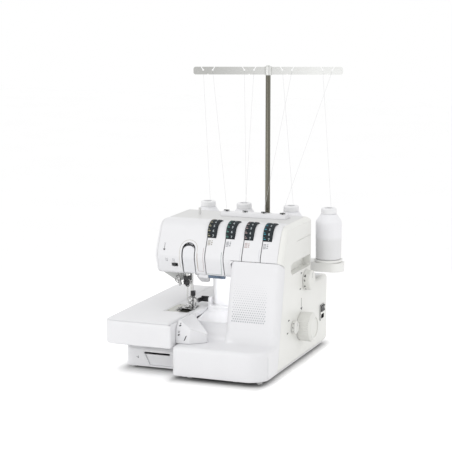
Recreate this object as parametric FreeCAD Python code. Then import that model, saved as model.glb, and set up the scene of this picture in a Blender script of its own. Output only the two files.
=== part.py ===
import FreeCAD, Part
import math
import os

V = FreeCAD.Vector

# Home overlock machine with a flat-bed table, four thread cones and a telescopic thread mast.
# Sizes are in millimetres. X runs to the right, Y to the back and Z up.
# The origin is on the table top, under the middle of the machine.

# Covers and fits
wall = 2.6               # thickness of a moulded cover
seam = 0.4               # gap where two covers meet
slip = 0.6               # gap beside a piece that moves
seat = 0.2               # gap under a piece that rests on another
run_fit = 0.05           # radial clearance of a shaft in its bore
sliver = 1.0             # how far a cutting tool runs past what it cuts
past = 20.0              # how far a wide cutting tool stands off
far_off = 400.0          # past every side of the machine

# Base pan and feet
foot_height = 5.0
foot_radius = 7.0
foot_taper = 1.5
floor_thick = 4.0
base_left = -184.0
base_inset = 6.0         # base edge inside the covers
base_corner = 14.0
tongue_front = -190.0    # floor under the looper cover
riser_front = -150.0     # left riser that carries the table
riser_right = -54.0
riser_shoulder = 42.0    # height where the riser's front slopes back
riser_slope = 12.0
slot_left = -140.0       # waste slot in the riser's front
slot_width = 58.0
slot_height = 5.0
slot_bottom = 32.0
recess_depth = 3.0       # docking recess under the slot
recess_slant = 13.0

# Bed, free arm and table
bed_top = 117.0
table_thick = 53.0
table_left = -208.0
table_front = -211.0
table_right = -52.6
table_corner = 24.0
table_edge = 9.0         # rounding along the table's top edge
table_rear = 188.0
arm_left = -116.6        # free arm
arm_right = -42.0
arm_front = -98.0
arm_corner = 6.0
rib_thick = 2.0

# Main body outline
body_right = 152.0
side_depth = 13.0        # depth of the right cover
base_rear = 213.0
deck_top = 162.0
head_left = -141.0
head_rear = 97.0
head_bottom = 198.0
head_top = 309.5
chin_y = -80.0           # front edge of the head's underside
ridge_y = -92.0          # crease along the head's front
ridge_z = 240.0
brow_y = -60.0           # where the front would meet the top
chin_round = 8.0
ridge_round = 30.0
brow_round = 26.0
nape_round = 10.0
head_end_round = 9.0
face_depth = 7.0         # length of the face cover
top_seam_y = -18.0       # seam between the front cover and the top cover
column_left = -40.0
column_front = -16.0
column_round = 16.0
tower_left = 34.0
bevel_width = 12.0       # bevel along the top right edge
bevel_drop = 7.5
side_round = 7.0
deck_round = 10.0
groove_width = 0.9       # seam groove on the right side
groove_depth = 0.9
groove_z = 270.0
groove_front = -3.0

# Grip recess in the right cover
grip_front = -40.0
grip_length = 128.0
grip_bottom = 203.0
grip_height = 25.0
grip_depth = 18.0

# Looper cover
panel_top = 236.0
panel_foot_y = -125.6
panel_foot_round = 34.0
panel_left_round = 12.0
panel_right_round = 15.0
panel_return = 16.0      # how far the cover wraps round its sides
panel_top_drop = 13.0    # fall of the cover's top edge to the back
tray_front = -213.0
tray_left = -51.8
tray_top = 71.0
tray_bottom = 9.6
tray_left_round = 16.0
tray_right_round = 40.0
tray_edge = 9.0
scoop_left = -41.0
scoop_y = -107.0
scoop_top = 104.0
scoop_round = 30.0
trunnion_y = -204.0      # hinge line of the looper cover
trunnion_z = 13.0
trunnion_radius = 2.5
lug_radius = 5.0
lug_width = 8.0
lug_left = -36.0
lug_right = 96.0
apron_crest = -47.0      # where the apron's top starts to fall
apron_crease = -22.0     # where its front turns back
apron_right = 6.0
apron_front = -182.0
apron_round = 14.0
apron_flare = 2.0        # lean of the front face
apron_end = 8.0          # width of the ramp's right end
apron_cut_y = -150.0
apron_cut_z = 90.0

# Cloth ledge beside the needle plate
ledge_thick = 3.0
ledge_back_z = 113.0
ridge_lip_y = -33.0
ridge_lip_z = 121.0

# Needle, foot and plate
needle_x = -76.0
needle_y = -62.0
needle_bar_radius = 3.6
needle_bar_bottom = 190.0
needle_bar_top = 284.0
clamp_size = 14.0
clamp_height = 23.0
clamp_tip = 5.0          # tapered lower end of the needle clamp
clamp_screw = 2.4
clamp_screw_z = 12.0
needle_radius = 0.8
needle_length = 38.0
needle_gap = 4.4
needle_stroke = 24.0
presser_y = -38.0
presser_radius = 3.5
ankle_top = 140.0
ankle_width = 9.0
ankle_depth = 14.0
sole_width = 30.0
sole_length = 50.0
sole_thick = 3.0
sole_heel = 6.0          # sole behind the presser bar
sole_tip = 5.0           # upturn of the sole's toe
sole_turn = 8.0
foot_screw = 3.0
foot_lift = 6.0
plate_right = -62.0
plate_rear = -22.0
plate_thick = 3.0
plate_lip = 2.5
dog_x = -91.0
dog_width = 12.0
dog_height = 9.0
dog_teeth = 9
dog_stem = 6.0
dog_front_y = -76.0
dog_front_length = 14.0
dog_rear_y = -47.0
dog_rear_length = 20.0
dog_travel = 2.5
knife_width = 9.0
knife_thick = 2.0
knife_height = 26.0
knife_pivot_y = -24.0
knife_pivot_z = 134.0
knife_pin = 3.0
knife_hub = 6.0
knife_hub_length = 17.0

# Shafts and drive
shaft_y = 28.0
shaft_z = 79.0
shaft_radius = 7.0
shaft_left = -32.0
bush_wall = 3.0
bush_length = 12.0
pillar_thick = 10.0
pillar_xs = (-24.0, 76.0, 128.0)
frame_thick = 6.0
frame_left = -34.0
frame_front = -60.0
frame_rear = 200.0
frame_gap = 8.0          # frame edge inside the covers
post_left = 46.0
post_width = 24.0
post_front = 52.0
post_depth = 32.0
drive_pulley_radius = 30.0
pulley_x = 112.0
pulley_width = 10.0
motor_pulley_radius = 10.0
motor_y = 130.0
motor_z = 62.0
motor_radius = 30.0
motor_length = 64.0
motor_nose = 5.4         # boss between the motor and its pulley
motor_shaft_radius = 3.0
motor_bell = 8.0
saddle_inset = 10.0
belt_thick = 1.6
belt_inset = 1.0         # belt edge inside the pulley's edge
belt_gap = 0.3
upper_z = 232.0
upper_radius = 6.0
upper_lug_xs = (-52.0, 66.0)
upper_lug_thick = 8.0
crank_radius = 17.0
crank_thick = 7.0
crank_throw = 12.0
arm_pulley_radius = 14.0
arm_pulley_x = 89.0
arm_plate_bottom = 206.4
arm_plate_thick = 7.0
arm_plate_front = -73.0
arm_plate_left = -108.0
arm_plate_rear = 88.0
lug_round = 10.0
post_half = 12.0         # bearing posts of the arm frame
post_top_half = 10.0
post_rise = 10.0
post_round = 8.0
boss_half = 8.0          # bosses round the needle bar and the presser bar
boss_round = 6.0
tower_width = 11.0       # guide tower beside the needle bar
tower_ahead = 4.0
tower_round = 3.0
bridge_thick = 10.0
nose_drop = 22.0         # nose of the arm behind the needle
nose_lip = 4.0
nose_tip = 14.0
nose_length = 20.0
lever_room = 24.0        # slot behind the foot lifter

# Loopers
looper_thick = 6.0
looper_hub = 8.0
looper_pin = 4.0
lower_looper_x = -18.0
lower_looper_z = 48.0
lower_looper_y = -76.0
upper_looper_x = 14.0
upper_looper_z = 62.0
upper_looper_y = -54.0
looper_wall_y = -46.0

# Tension unit
dial_count = 4
dial_first_x = -15.0
dial_pitch = 41.8
dial_width = 20.0
dial_radius = 29.4
dial_y = -44.5
dial_z = 284.0
dial_ribs = 40
dial_rib_depth = 0.7
tension_shaft_radius = 4.0
slit_width = 1.8

# Take-up lever and its slot
take_up_x = -63.0
take_up_width = 26.0
take_up_slot = 31.0
take_up_slot_top = 267.0
take_up_top = 262.0
take_up_set_back = 1.2
take_up_thick = 2.5
take_up_pivot_y = -62.0
take_up_pivot_z = 270.0
take_up_pin = 3.0
take_up_hub = 9.0

# Small controls on the head
switch_x = -95.0
switch_z = 218.0
switch_width = 8.0
switch_height = 6.0
switch_travel = 2.5
switch_reach = 4.0
threader_x = -93.0
threader_y = -68.0
threader_radius = 2.0
threader_bottom = 168.0
threader_top = 236.0
threader_stroke = 18.0
threader_hook = 18.0     # height of the hooked blade
threader_reach = 6.0
lifter_y = -8.0
lifter_z = 226.0
lifter_thick = 8.0
lifter_pin = 3.0
lifter_length = 66.0
tab_left = -101.0        # finger tab of the foot lifter
tab_low = 154.0
tab_thick = 5.0
tab_chamfer = 10.0
lever_drop = 14.0        # lever below the head's underside
lever_back = 9.0
lever_front = 5.0
lamp_left = -22.0
lamp_width = 36.0
lamp_height = 6.5
lamp_depth = 9.0
lamp_box_width = 22.0

# Dials on the right
wheel_radius = 31.5
wheel_width = 31.0
wheel_ribs = 44
wheel_rib_depth = 0.9
wheel_chamfer = 5.0
wheel_dish = 10.0        # rim width round the wheel's dished end
wheel_dish_depth = 1.5
length_dial_y = 58.0
length_dial_z = 176.0
length_dial_radius = 22.0
length_dial_width = 15.0
feed_dial_y = -24.0
feed_dial_z = 88.0
feed_dial_radius = 14.0
feed_dial_width = 9.0
spindle_radius = 4.0
side_dial_ribs = 28
side_dial_rib_depth = 0.7

# Power inlet and switch
inlet_y = 174.0
inlet_z = 80.0
inlet_width = 30.0
inlet_height = 36.0
inlet_depth = 20.0
inlet_proud = 1.6
socket_width = 20.0
socket_height = 10.0
socket_depth = 14.0
rocker_width = 22.0
rocker_height = 14.0
rocker_depth = 9.0
rocker_tilt = 6.0

# Thread stand
mast_x = 28.0
mast_y = 155.0
mast_radius = 5.5
tube_wall = 1.4
tube_top = 300.0
mast_bottom = 268.0
mast_top = 609.0
collar_radius = 9.5
collar_height = 8.0
stand_left = -146.0
stand_right = 208.0
stand_depth = 48.0
stand_top = 200.0
stand_height = 20.0
stand_foot_width = 46.0
stand_foot_inset = 4.0
stand_foot_round = 10.0
stand_rib_y = 9.0
cone_offsets = (-143.0, -56.0, 56.0, 144.0)
seat_radius = 31.0
seat_thick = 6.0
pin_radius = 4.0
pin_height = 80.0
core_bore = 9.0
core_radius = 16.0
core_height = 114.0
core_cap = 13.0
cone_radius = 29.0
cone_shoulder = 84.0
cone_round = 14.0
cone_taper = 1.0
bar_length = 330.0
bar_height = 17.0
bar_thick = 2.0
bar_turn = 20.0          # angle of the guide bar to the machine's front
bar_hub_radius = 8.0
bar_hub_height = 19.0
bar_screw_radius = 4.0
bar_screw_height = 2.5
bar_stations = (-133.0, -42.0, 42.0, 131.0)
hook_gap = 31.0          # between the two hooks of a station
hook_width = 2.2
hook_depth = 7.0
hook_lean = 5.0
hook_eye = 2.0
notch_depth = 2.4

# Thread guides on top
rail_left = -36.0
rail_length = 150.0
rail_front = 30.0
rail_depth = 34.0
rail_height = 9.0
rail_slot = 8.0          # clip slots behind the rail's front
rail_slope = 12.0
clip_first_x = -25.0
clip_pitch = 43.0
clip_width = 12.0
clip_depth = 3.4
clip_height = 1.8
clip_stem = 3.0
clip_round = 0.5
peg_x = -86.0
peg_y = 34.0
peg_radius = 3.0
peg_height = 15.0

# Places that follow from the sizes above
floor_top = foot_height + floor_thick
cover_bottom = floor_top + seam
side_seam = body_right - side_depth
table_bottom = bed_top - table_thick
riser_top = table_bottom - seat
panel_top_y = ridge_y + 1.0
panel_slope = (panel_top_y - panel_foot_y) / (panel_top - tray_top)
frame_top = floor_top + seat + frame_thick
arm_plate_top = arm_plate_bottom + arm_plate_thick
dial_xs = [dial_first_x + i * dial_pitch for i in range(dial_count)]
cone_xs = [mast_x + offset for offset in cone_offsets]
wheel_left = body_right + slip
face_seam = head_left + face_depth
motor_right = pulley_x - slip - motor_nose
motor_left = motor_right - motor_length

normals = {"yz": V(1, 0, 0), "xz": V(0, 1, 0), "xy": V(0, 0, 1)}


def place(plane, a, b, level):
    if plane == "yz":
        return V(level, a, b)
    if plane == "xz":
        return V(a, level, b)
    return V(a, b, level)


def outline(plane, corners, level):
    # Closed wire through (a, b, radius) corners, where a radius rounds its corner with a tangent arc.
    stretches = []
    count = len(corners)
    for i, corner in enumerate(corners):
        here = V(corner[0], corner[1], 0)
        radius = corner[2] if len(corner) > 2 else 0
        if radius == 0:
            stretches.append((here, None, here))
            continue
        back = V(corners[i - 1][0], corners[i - 1][1], 0) - here
        onward = V(corners[(i + 1) % count][0], corners[(i + 1) % count][1], 0) - here
        back.normalize()
        onward.normalize()
        half = back.getAngle(onward) / 2
        inward = back + onward
        inward.normalize()
        middle = here + inward * (radius / math.sin(half) - radius)
        reach = radius / math.tan(half)
        stretches.append((here + back * reach, middle, here + onward * reach))
    edges = []
    for i, (start, middle, end) in enumerate(stretches):
        points = [place(plane, p.x, p.y, level) for p in (start, middle or start, end)]
        if middle:
            edges.append(Part.Arc(*points).toShape())
        following = stretches[(i + 1) % count][0]
        following = place(plane, following.x, following.y, level)
        if points[2].distanceToPoint(following) > 1e-6:
            edges.append(Part.LineSegment(points[2], following).toShape())
    return Part.Wire(edges)


def prism(plane, corners, low, high, inset=0.0):
    face = Part.Face(outline(plane, corners, low))
    if inset:
        face = face.makeOffset2D(-inset)
    return face.extrude(normals[plane] * (high - low))


def box(x0, x1, y0, y1, z0, z1):
    return Part.makeBox(x1 - x0, y1 - y0, z1 - z0, V(x0, y0, z0))


def rod(axis, a, b, radius, low, high):
    plane = {"x": "yz", "y": "xz", "z": "xy"}[axis]
    return Part.makeCylinder(radius, high - low, place(plane, a, b, low), normals[plane])


def fuse(*shapes):
    return shapes[0].multiFuse(list(shapes[1:])).removeSplitter()


def rounded(shape, radius, wanted):
    edges = [edge for edge in shape.Edges if wanted(edge)]
    return shape.makeFillet(radius, edges)


def level_edge(edge, axis, value):
    # True when the whole edge lies at that value of the axis.
    box_of = edge.BoundBox
    low, high = {"x": (box_of.XMin, box_of.XMax), "y": (box_of.YMin, box_of.YMax),
                 "z": (box_of.ZMin, box_of.ZMax)}[axis]
    return abs(low - value) < 0.01 and abs(high - value) < 0.01


def ribbed(axis, a, b, radius, depth, count, low, high):
    # Wheel with a scalloped rim, drawn as a polygon that steps between two radii.
    corners = []
    for i in range(2 * count):
        turn = math.pi * i / count
        reach = radius if i % 2 else radius - depth
        corners.append((a + reach * math.cos(turn), b + reach * math.sin(turn)))
    plane = {"x": "yz", "y": "xz", "z": "xy"}[axis]
    return prism(plane, corners, low, high)


def panel_y(z, back=0.0):
    # Front face of the looper cover at height z, moved back by that much.
    return panel_foot_y + (z - tray_top) * panel_slope + back


def head_corners():
    return [(chin_y, head_bottom, chin_round), (ridge_y, ridge_z, ridge_round),
            (brow_y, head_top, brow_round),
            (head_rear, head_top, nape_round), (head_rear, head_bottom, 2 * wall)]


def front_y(z):
    # Front face of the head at height z, below or above its crease.
    if z < ridge_z:
        return chin_y + (z - head_bottom) * (ridge_y - chin_y) / (ridge_z - head_bottom)
    return ridge_y + (z - ridge_z) * (brow_y - ridge_y) / (head_top - ridge_z)


# Base

def riser_profile():
    return [(riser_front, foot_height), (riser_front, riser_shoulder, 8.0),
            (riser_front + riser_slope, riser_top),
            (table_rear, riser_top, 8.0), (table_rear, foot_height)]


def base_pan():
    right = body_right - base_inset
    rear = base_rear - base_inset
    tongue_left = tray_left + wall + 4 * slip
    floor = prism("xy", [(base_left, riser_front, base_corner), (tongue_left, riser_front),
                         (tongue_left, tongue_front, base_corner), (right, tongue_front, 2 * base_corner),
                         (right, rear, base_corner), (base_left, rear, base_corner)], foot_height,
                  floor_top)
    plan = [(base_left, riser_front, base_corner), (riser_right, riser_front), (riser_right, table_rear),
            (base_left, table_rear, base_corner)]
    riser = prism("yz", riser_profile(), base_left,
                  riser_right).common(prism("xy", plan, foot_height, riser_top))
    hollow = prism("yz", riser_profile(), base_left, riser_right, wall)
    hollow = hollow.common(prism("xy", plan, foot_height, riser_top, wall))
    slot_right = slot_left + slot_width
    slot = box(slot_left, slot_right, riser_front - sliver, riser_front + 4 * wall, slot_bottom,
               slot_bottom + slot_height)
    recess = prism("xz", [(slot_left, slot_bottom + slot_height), (slot_left + recess_slant, floor_top),
                          (riser_right + sliver, floor_top),
                          (riser_right + sliver, slot_bottom + slot_height)],
                   riser_front - sliver, riser_front + recess_depth)
    backing = box(slot_left - wall, riser_right, riser_front + recess_depth,
                  riser_front + recess_depth + wall,
                  floor_top - sliver, slot_bottom + slot_height + wall)
    riser = fuse(riser.cut(hollow), backing.common(riser)).cut([slot, recess])
    pan = fuse(floor, riser)
    arm_end = tongue_front + 2 * lug_radius
    for x in (lug_left, lug_right):
        eye = rod("x", trunnion_y, trunnion_z, lug_radius, x, x + lug_width)
        arm = prism("yz", [(trunnion_y, trunnion_z + lug_radius), (arm_end, trunnion_z + lug_radius),
                           (arm_end, foot_height), (tongue_front, foot_height),
                           (trunnion_y + lug_radius, trunnion_z - lug_radius + sliver),
                           (trunnion_y, trunnion_z - lug_radius + sliver)], x, x + lug_width)
        bore = rod("x", trunnion_y, trunnion_z, trunnion_radius + run_fit, x - sliver,
                   x + lug_width + sliver)
        pan = fuse(pan, eye, arm).cut(bore)
    return pan


def rubber_feet():
    inset = 2 * foot_radius
    right = body_right - base_inset - inset
    rear = base_rear - base_inset - inset
    spots = [(tray_left + wall + 2 * inset, tongue_front + inset / 2 + 1), (right, tongue_front + inset),
             (base_left + inset, riser_front + inset), (base_left + inset, rear), (right, rear)]
    feet = [Part.makeCone(foot_radius - foot_taper, foot_radius, foot_height, V(x, y, 0)) for x,
            y in spots]
    return Part.makeCompound(feet)


def bearing_wall(x, thick, y, z, radius, foot):
    # Cast wall that rises from a plate and widens to its foot, with a round head about a shaft.
    reach = radius + bush_wall + 5.0
    corners = [(y - 1.7 * reach, foot), (y - reach, z + reach, reach * 0.7),
               (y + reach, z + reach, reach * 0.7),
               (y + 1.7 * reach, foot)]
    return prism("yz", corners, x - thick / 2, x + thick / 2)


def bed_frame():
    right = side_seam - frame_gap
    bottom = floor_top + seat
    plate = prism("xy", [(frame_left, frame_front, lug_round), (right, frame_front, lug_round),
                         (right, frame_rear, lug_round), (frame_left, frame_rear, lug_round)], bottom,
                  frame_top)
    post = prism("xy", [(post_left, post_front, 4), (post_left + post_width, post_front, 4),
                        (post_left + post_width, post_front + post_depth, 4),
                        (post_left, post_front + post_depth, 4)],
                 frame_top - sliver, arm_plate_bottom - seat)
    walls = [bearing_wall(x, pillar_thick, shaft_y, shaft_z, shaft_radius,
                          frame_top - sliver) for x in pillar_xs]
    looper_wall = prism("xz", [(frame_left + 2, frame_top - sliver),
                               (lower_looper_x - 2 * looper_hub, lower_looper_z, 6),
                               (lower_looper_x, lower_looper_z + 2 * looper_hub, 6),
                               (upper_looper_x, upper_looper_z + 2 * looper_hub, 6),
                               (upper_looper_x + 2 * looper_hub, upper_looper_z, 6),
                               (upper_looper_x + 2 * looper_hub + 6, frame_top - sliver)],
                        looper_wall_y, looper_wall_y + pillar_thick)
    pins = [rod("y", lower_looper_x, lower_looper_z, looper_pin, lower_looper_y - looper_thick / 2,
                looper_wall_y + sliver),
            rod("y", upper_looper_x, upper_looper_z, looper_pin, upper_looper_y - looper_thick / 2,
                looper_wall_y + sliver)]
    saddle_reach = motor_radius * 0.6
    saddle = box(motor_left + saddle_inset, motor_right - saddle_inset, motor_y - saddle_reach,
                 motor_y + saddle_reach,
                 frame_top - sliver, motor_z)
    saddle = saddle.cut(rod("x", motor_y, motor_z, motor_radius + seat, motor_left - sliver,
                            motor_right + sliver))
    frame = fuse(plate, post, looper_wall, saddle, *walls, *pins)
    bores = [rod("x", shaft_y, shaft_z, shaft_radius + bush_wall + run_fit, x - pillar_thick,
                 x + pillar_thick)
             for x in pillar_xs]
    return frame.cut(bores)


def shaft_bushes():
    bushes = []
    for x in pillar_xs:
        bushes.append(("main", x, bush_length))
    for x in upper_lug_xs:
        bushes.append(("upper", x, bush_length))
    solids = []
    for kind, x, length in bushes:
        y, z, radius = (shaft_y, shaft_z, shaft_radius) if kind == "main" else (needle_y, upper_z,
                                                                                upper_radius)
        outer = rod("x", y, z, radius + bush_wall, x - length / 2, x + length / 2)
        solids.append(outer.cut(rod("x", y, z, radius + run_fit, x - length, x + length)))
    return Part.makeCompound(solids)


def arm_frame():
    right = side_seam - frame_gap
    plate = prism("xy", [(arm_plate_left, arm_plate_front, lug_round),
                         (right, arm_plate_front, lug_round),
                         (right, arm_plate_rear, lug_round), (arm_plate_left, arm_plate_rear, lug_round)],
                  arm_plate_bottom, arm_plate_top)
    foot = arm_plate_top - sliver
    lugs = []
    for x in upper_lug_xs:
        lugs.append(bearing_wall(x, upper_lug_thick, needle_y + sliver, upper_z,
                                 upper_radius - tower_round, foot))
    tall = prism("yz", [(needle_y + boss_half, foot), (take_up_pivot_y - boss_half, upper_z + post_half),
                        (take_up_pivot_y - boss_round, take_up_pivot_z + post_rise, post_round),
                        (dial_y - post_top_half, dial_z + post_rise, post_round),
                        (dial_y + post_top_half, dial_z + post_rise, post_round),
                        (dial_y + post_half, foot)],
                 upper_lug_xs[0] - upper_lug_thick / 2, upper_lug_xs[0] + upper_lug_thick / 2)
    far = prism("yz", [(dial_y - post_half, foot),
                       (dial_y - post_top_half, dial_z + post_rise, post_round),
                       (dial_y + post_top_half, dial_z + post_rise, post_round),
                       (dial_y + post_half, foot)], right - upper_lug_thick, right)
    pivot = rod("x", take_up_pivot_y, take_up_pivot_z, take_up_pin, take_up_x - take_up_hub / 2 + seat,
                upper_lug_xs[0])
    guide_x = needle_x - 2.6 * needle_bar_radius
    bridge_top = needle_bar_top - boss_half
    tower = prism("xy", [(guide_x - tower_width, needle_y + tower_ahead, tower_round),
                         (guide_x, needle_y + tower_ahead, tower_round),
                         (guide_x, presser_y + boss_half, tower_round),
                         (guide_x - tower_width, presser_y + boss_half, tower_round)], foot, bridge_top)
    bridge = prism("xy", [(guide_x - tower_width, needle_y - boss_half, tower_round),
                          (needle_x + boss_half, needle_y - boss_half, boss_round),
                          (needle_x + boss_half, presser_y + boss_half, boss_round),
                          (guide_x - tower_width, presser_y + boss_half, tower_round)],
                   bridge_top - bridge_thick, bridge_top)
    boss = prism("xy", [(needle_x - boss_half, needle_y - boss_half, boss_round),
                        (needle_x + boss_half, needle_y - boss_half, boss_round),
                        (needle_x + boss_half, presser_y + boss_half, boss_round),
                        (needle_x - boss_half, presser_y + boss_half, boss_round)], head_bottom - 2, foot)
    nose = prism("xz", [(head_left + 2.6 * wall, head_bottom - nose_lip),
                        (arm_plate_left + boss_round, head_bottom - nose_drop, tower_round),
                        (arm_plate_left + nose_tip, head_bottom - nose_drop, tower_round),
                        (arm_plate_left + nose_length, head_bottom - nose_lip),
                        (arm_plate_left + nose_length, foot), (arm_plate_left, foot),
                        (arm_plate_left, head_bottom + 1)],
                 needle_y + boss_round, column_front - nose_lip)
    lever_lug = prism("yz", [(lifter_y - post_top_half, foot),
                             (lifter_y - boss_half, lifter_z + boss_half, boss_round),
                             (lifter_y + boss_half, lifter_z + boss_half, boss_round),
                             (lifter_y + post_top_half, foot)], needle_x + lifter_thick / 2 + slip,
                      needle_x + lifter_thick / 2 + slip + upper_lug_thick)
    lever_pin = rod("x", lifter_y, lifter_z, lifter_pin, needle_x - lifter_thick / 2,
                    needle_x + lifter_thick / 2 + upper_lug_thick)
    frame = fuse(plate, tall, far, pivot, tower, bridge, boss, nose, lever_lug, lever_pin, *lugs)
    bores = [rod("z", needle_x, needle_y, needle_bar_radius + run_fit, head_bottom - past,
                 needle_bar_top + past),
             rod("z", needle_x, presser_y, presser_radius + run_fit, head_bottom - past,
                 needle_bar_top + past),
             rod("z", threader_x, threader_y, threader_radius + seat, arm_plate_bottom - sliver,
                 arm_plate_top + sliver),
             rod("x", dial_y, dial_z, tension_shaft_radius + run_fit, upper_lug_xs[0] - upper_lug_thick,
                 right + sliver)]
    for x in upper_lug_xs:
        bores.append(rod("x", needle_y, upper_z, upper_radius + bush_wall + run_fit, x - upper_lug_thick,
                         x + upper_lug_thick))
    belt_room = arm_pulley_radius + belt_thick + 4 * slip
    bores.append(box(arm_pulley_x - 3 * slip, arm_pulley_x + pulley_width + 3 * slip,
                     needle_y - belt_room,
                     needle_y + 2.6 * belt_room, arm_plate_bottom - sliver, arm_plate_top + sliver))
    bores.append(box(needle_x - lifter_thick / 2 - slip, needle_x + lifter_thick / 2 + slip,
                     lifter_y - past,
                     lifter_y + lever_back + lever_room, arm_plate_bottom - sliver,
                     arm_plate_top + sliver))
    return frame.cut(bores)


# Covers

def head_shell():
    outer = prism("yz", head_corners(), head_left, side_seam - seam)
    outer = rounded(outer, head_end_round, lambda e: level_edge(e, "x", head_left))
    inner_left = head_left + wall
    inner = prism("yz", head_corners(), inner_left, side_seam + sliver, wall)
    inner = rounded(inner, head_end_round - wall, lambda e: level_edge(e, "x", inner_left))
    shell = outer.cut(inner)
    past_front = ridge_y - past
    openings = [
        box(tower_left, side_seam + sliver, past_front, top_seam_y, head_bottom - sliver,
            panel_top + seam),
        box(tower_left, side_seam + sliver, past_front, head_rear - wall, head_bottom - sliver,
            head_bottom + wall + sliver),
        box(column_left + wall, tower_left + sliver, column_front + wall, head_rear - wall,
            head_bottom - sliver, head_bottom + wall + sliver),
        box(arm_plate_left - 28, column_left - 4, arm_plate_front - 2, column_front + wall,
            head_bottom - sliver, head_bottom + wall + sliver),
        box(needle_x - lifter_thick, needle_x + lifter_thick, column_front,
            lifter_y + lever_back + lever_room,
            head_bottom - sliver, head_bottom + wall + sliver)]
    return shell.cut(openings)


def take_up_arch():
    # Arched slot in the head's front for the take-up lever.
    left = take_up_x - take_up_slot / 2
    right = take_up_x + take_up_slot / 2
    return prism("xz", [(left, head_bottom - sliver), (right, head_bottom - sliver),
                        (right, take_up_slot_top, take_up_slot / 2 - 0.5),
                        (left, take_up_slot_top, take_up_slot / 2 - 0.5)], ridge_y - past, chin_y + 12)


def head_front_cover(shell):
    far = far_off
    cover = shell.common(box(face_seam + seam, side_seam, -far, top_seam_y - seam, 0, far))
    tools = [take_up_arch()]
    for i, x in enumerate(dial_xs):
        left = x - dial_width / 2
        tools.append(rod("x", dial_y, dial_z, dial_radius + slip, left - slip, x + dial_width / 2 + slip))
        slit_bottom = head_bottom - sliver if left < tower_left else panel_top
        tools.append(box(left - slip, left - slip + slit_width, ridge_y - past, dial_y, slit_bottom,
                         dial_z))
    stem = switch_travel + switch_width / 2
    tools.append(box(switch_x - stem - slip, switch_x + stem + slip, ridge_y - past, chin_y + 10,
                     switch_z - switch_height / 2 - slip, switch_z + switch_height / 2 + slip))
    cover = cover.cut(tools)
    lamp_box = prism("xz", [(lamp_left - lamp_box_width, head_bottom - lamp_height, 2),
                            (lamp_left - seam, head_bottom - lamp_height),
                            (lamp_left - seam, head_bottom + wall),
                            (lamp_left - lamp_box_width, head_bottom + wall)],
                     chin_y + 4, chin_y + 4 + 1.6 * lamp_depth)
    return fuse(cover, lamp_box)


def face_cover(shell):
    far = far_off
    return shell.common(box(head_left - sliver, face_seam, -far, far, 0, far))


def top_cover(shell):
    far = far_off
    cover = shell.common(box(face_seam + seam, side_seam, top_seam_y, far, 0, far))
    nape = box(column_left, side_seam - seam, head_rear - wall, head_rear, deck_top + seam,
               head_bottom + wall)
    peg = rod("z", peg_x, peg_y, peg_radius, head_top - wall, head_top + peg_height)
    return fuse(cover, nape, peg)


def side_corners():
    low_front = panel_y(cover_bottom, panel_return + seam)
    drop_z = panel_top - panel_top_drop + seam
    return [(low_front, cover_bottom), (base_rear, cover_bottom, deck_round),
            (base_rear, deck_top, deck_round),
            (head_rear, deck_top, 4.0), (head_rear, head_top, nape_round), (brow_y, head_top, brow_round),
            (front_y(ridge_z + 2 * wall), ridge_z + 2 * wall, ridge_round),
            (panel_top_y, panel_top + seam),
            (panel_y(drop_z, panel_return + seam), drop_z)]


def right_cover():
    outer = prism("yz", side_corners(), side_seam, body_right)
    outer = rounded(outer, side_round,
                    lambda e: level_edge(e, "x", body_right) and e.BoundBox.ZMin > cover_bottom + 1
                    and e.BoundBox.YMin > head_rear + deck_round / 4)
    bevel = prism("xz", [(body_right - bevel_width, head_top + sliver),
                         (body_right - bevel_width, head_top),
                         (body_right, head_top - bevel_drop),
                         (body_right + sliver, head_top - bevel_drop),
                         (body_right + sliver, head_top + sliver)], ridge_y - past, head_rear + sliver)
    inner = prism("yz", side_corners(), side_seam - sliver, body_right - wall, wall)
    inner_bevel = bevel.copy()
    inner_bevel.translate(V(-wall, 0, -wall))
    cover = outer.cut(bevel).cut(inner.cut(inner_bevel))
    grip_corners = [(grip_front, grip_bottom, grip_height / 2 - 1),
                    (grip_front + grip_length, grip_bottom, 5),
                    (grip_front + grip_length, grip_bottom + grip_height, 5),
                    (grip_front, grip_bottom + grip_height, grip_height / 2 - 1)]
    pocket = prism("yz", grip_corners, body_right - grip_depth, body_right + sliver)
    pan = prism("yz", grip_corners, body_right - grip_depth - wall, body_right - wall, -wall)
    cover = fuse(cover, pan).cut(pocket)
    tools = [rod("x", shaft_y, shaft_z, shaft_radius + 2 * slip, side_seam, body_right + sliver),
             rod("x", length_dial_y, length_dial_z, spindle_radius + run_fit, side_seam,
                 body_right + sliver),
             rod("x", feed_dial_y, feed_dial_z, spindle_radius + run_fit, side_seam, body_right + sliver),
             box(side_seam, body_right + sliver, inlet_y - inlet_width / 2 + 2,
                 inlet_y + inlet_width / 2 - 2,
                 inlet_z - inlet_height / 2 + 2, inlet_z + inlet_height / 2 - 2),
             box(body_right - groove_depth, body_right + sliver, groove_front, head_rear + sliver,
                 groove_z, groove_z + groove_width)]
    return cover.cut(tools)


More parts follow.
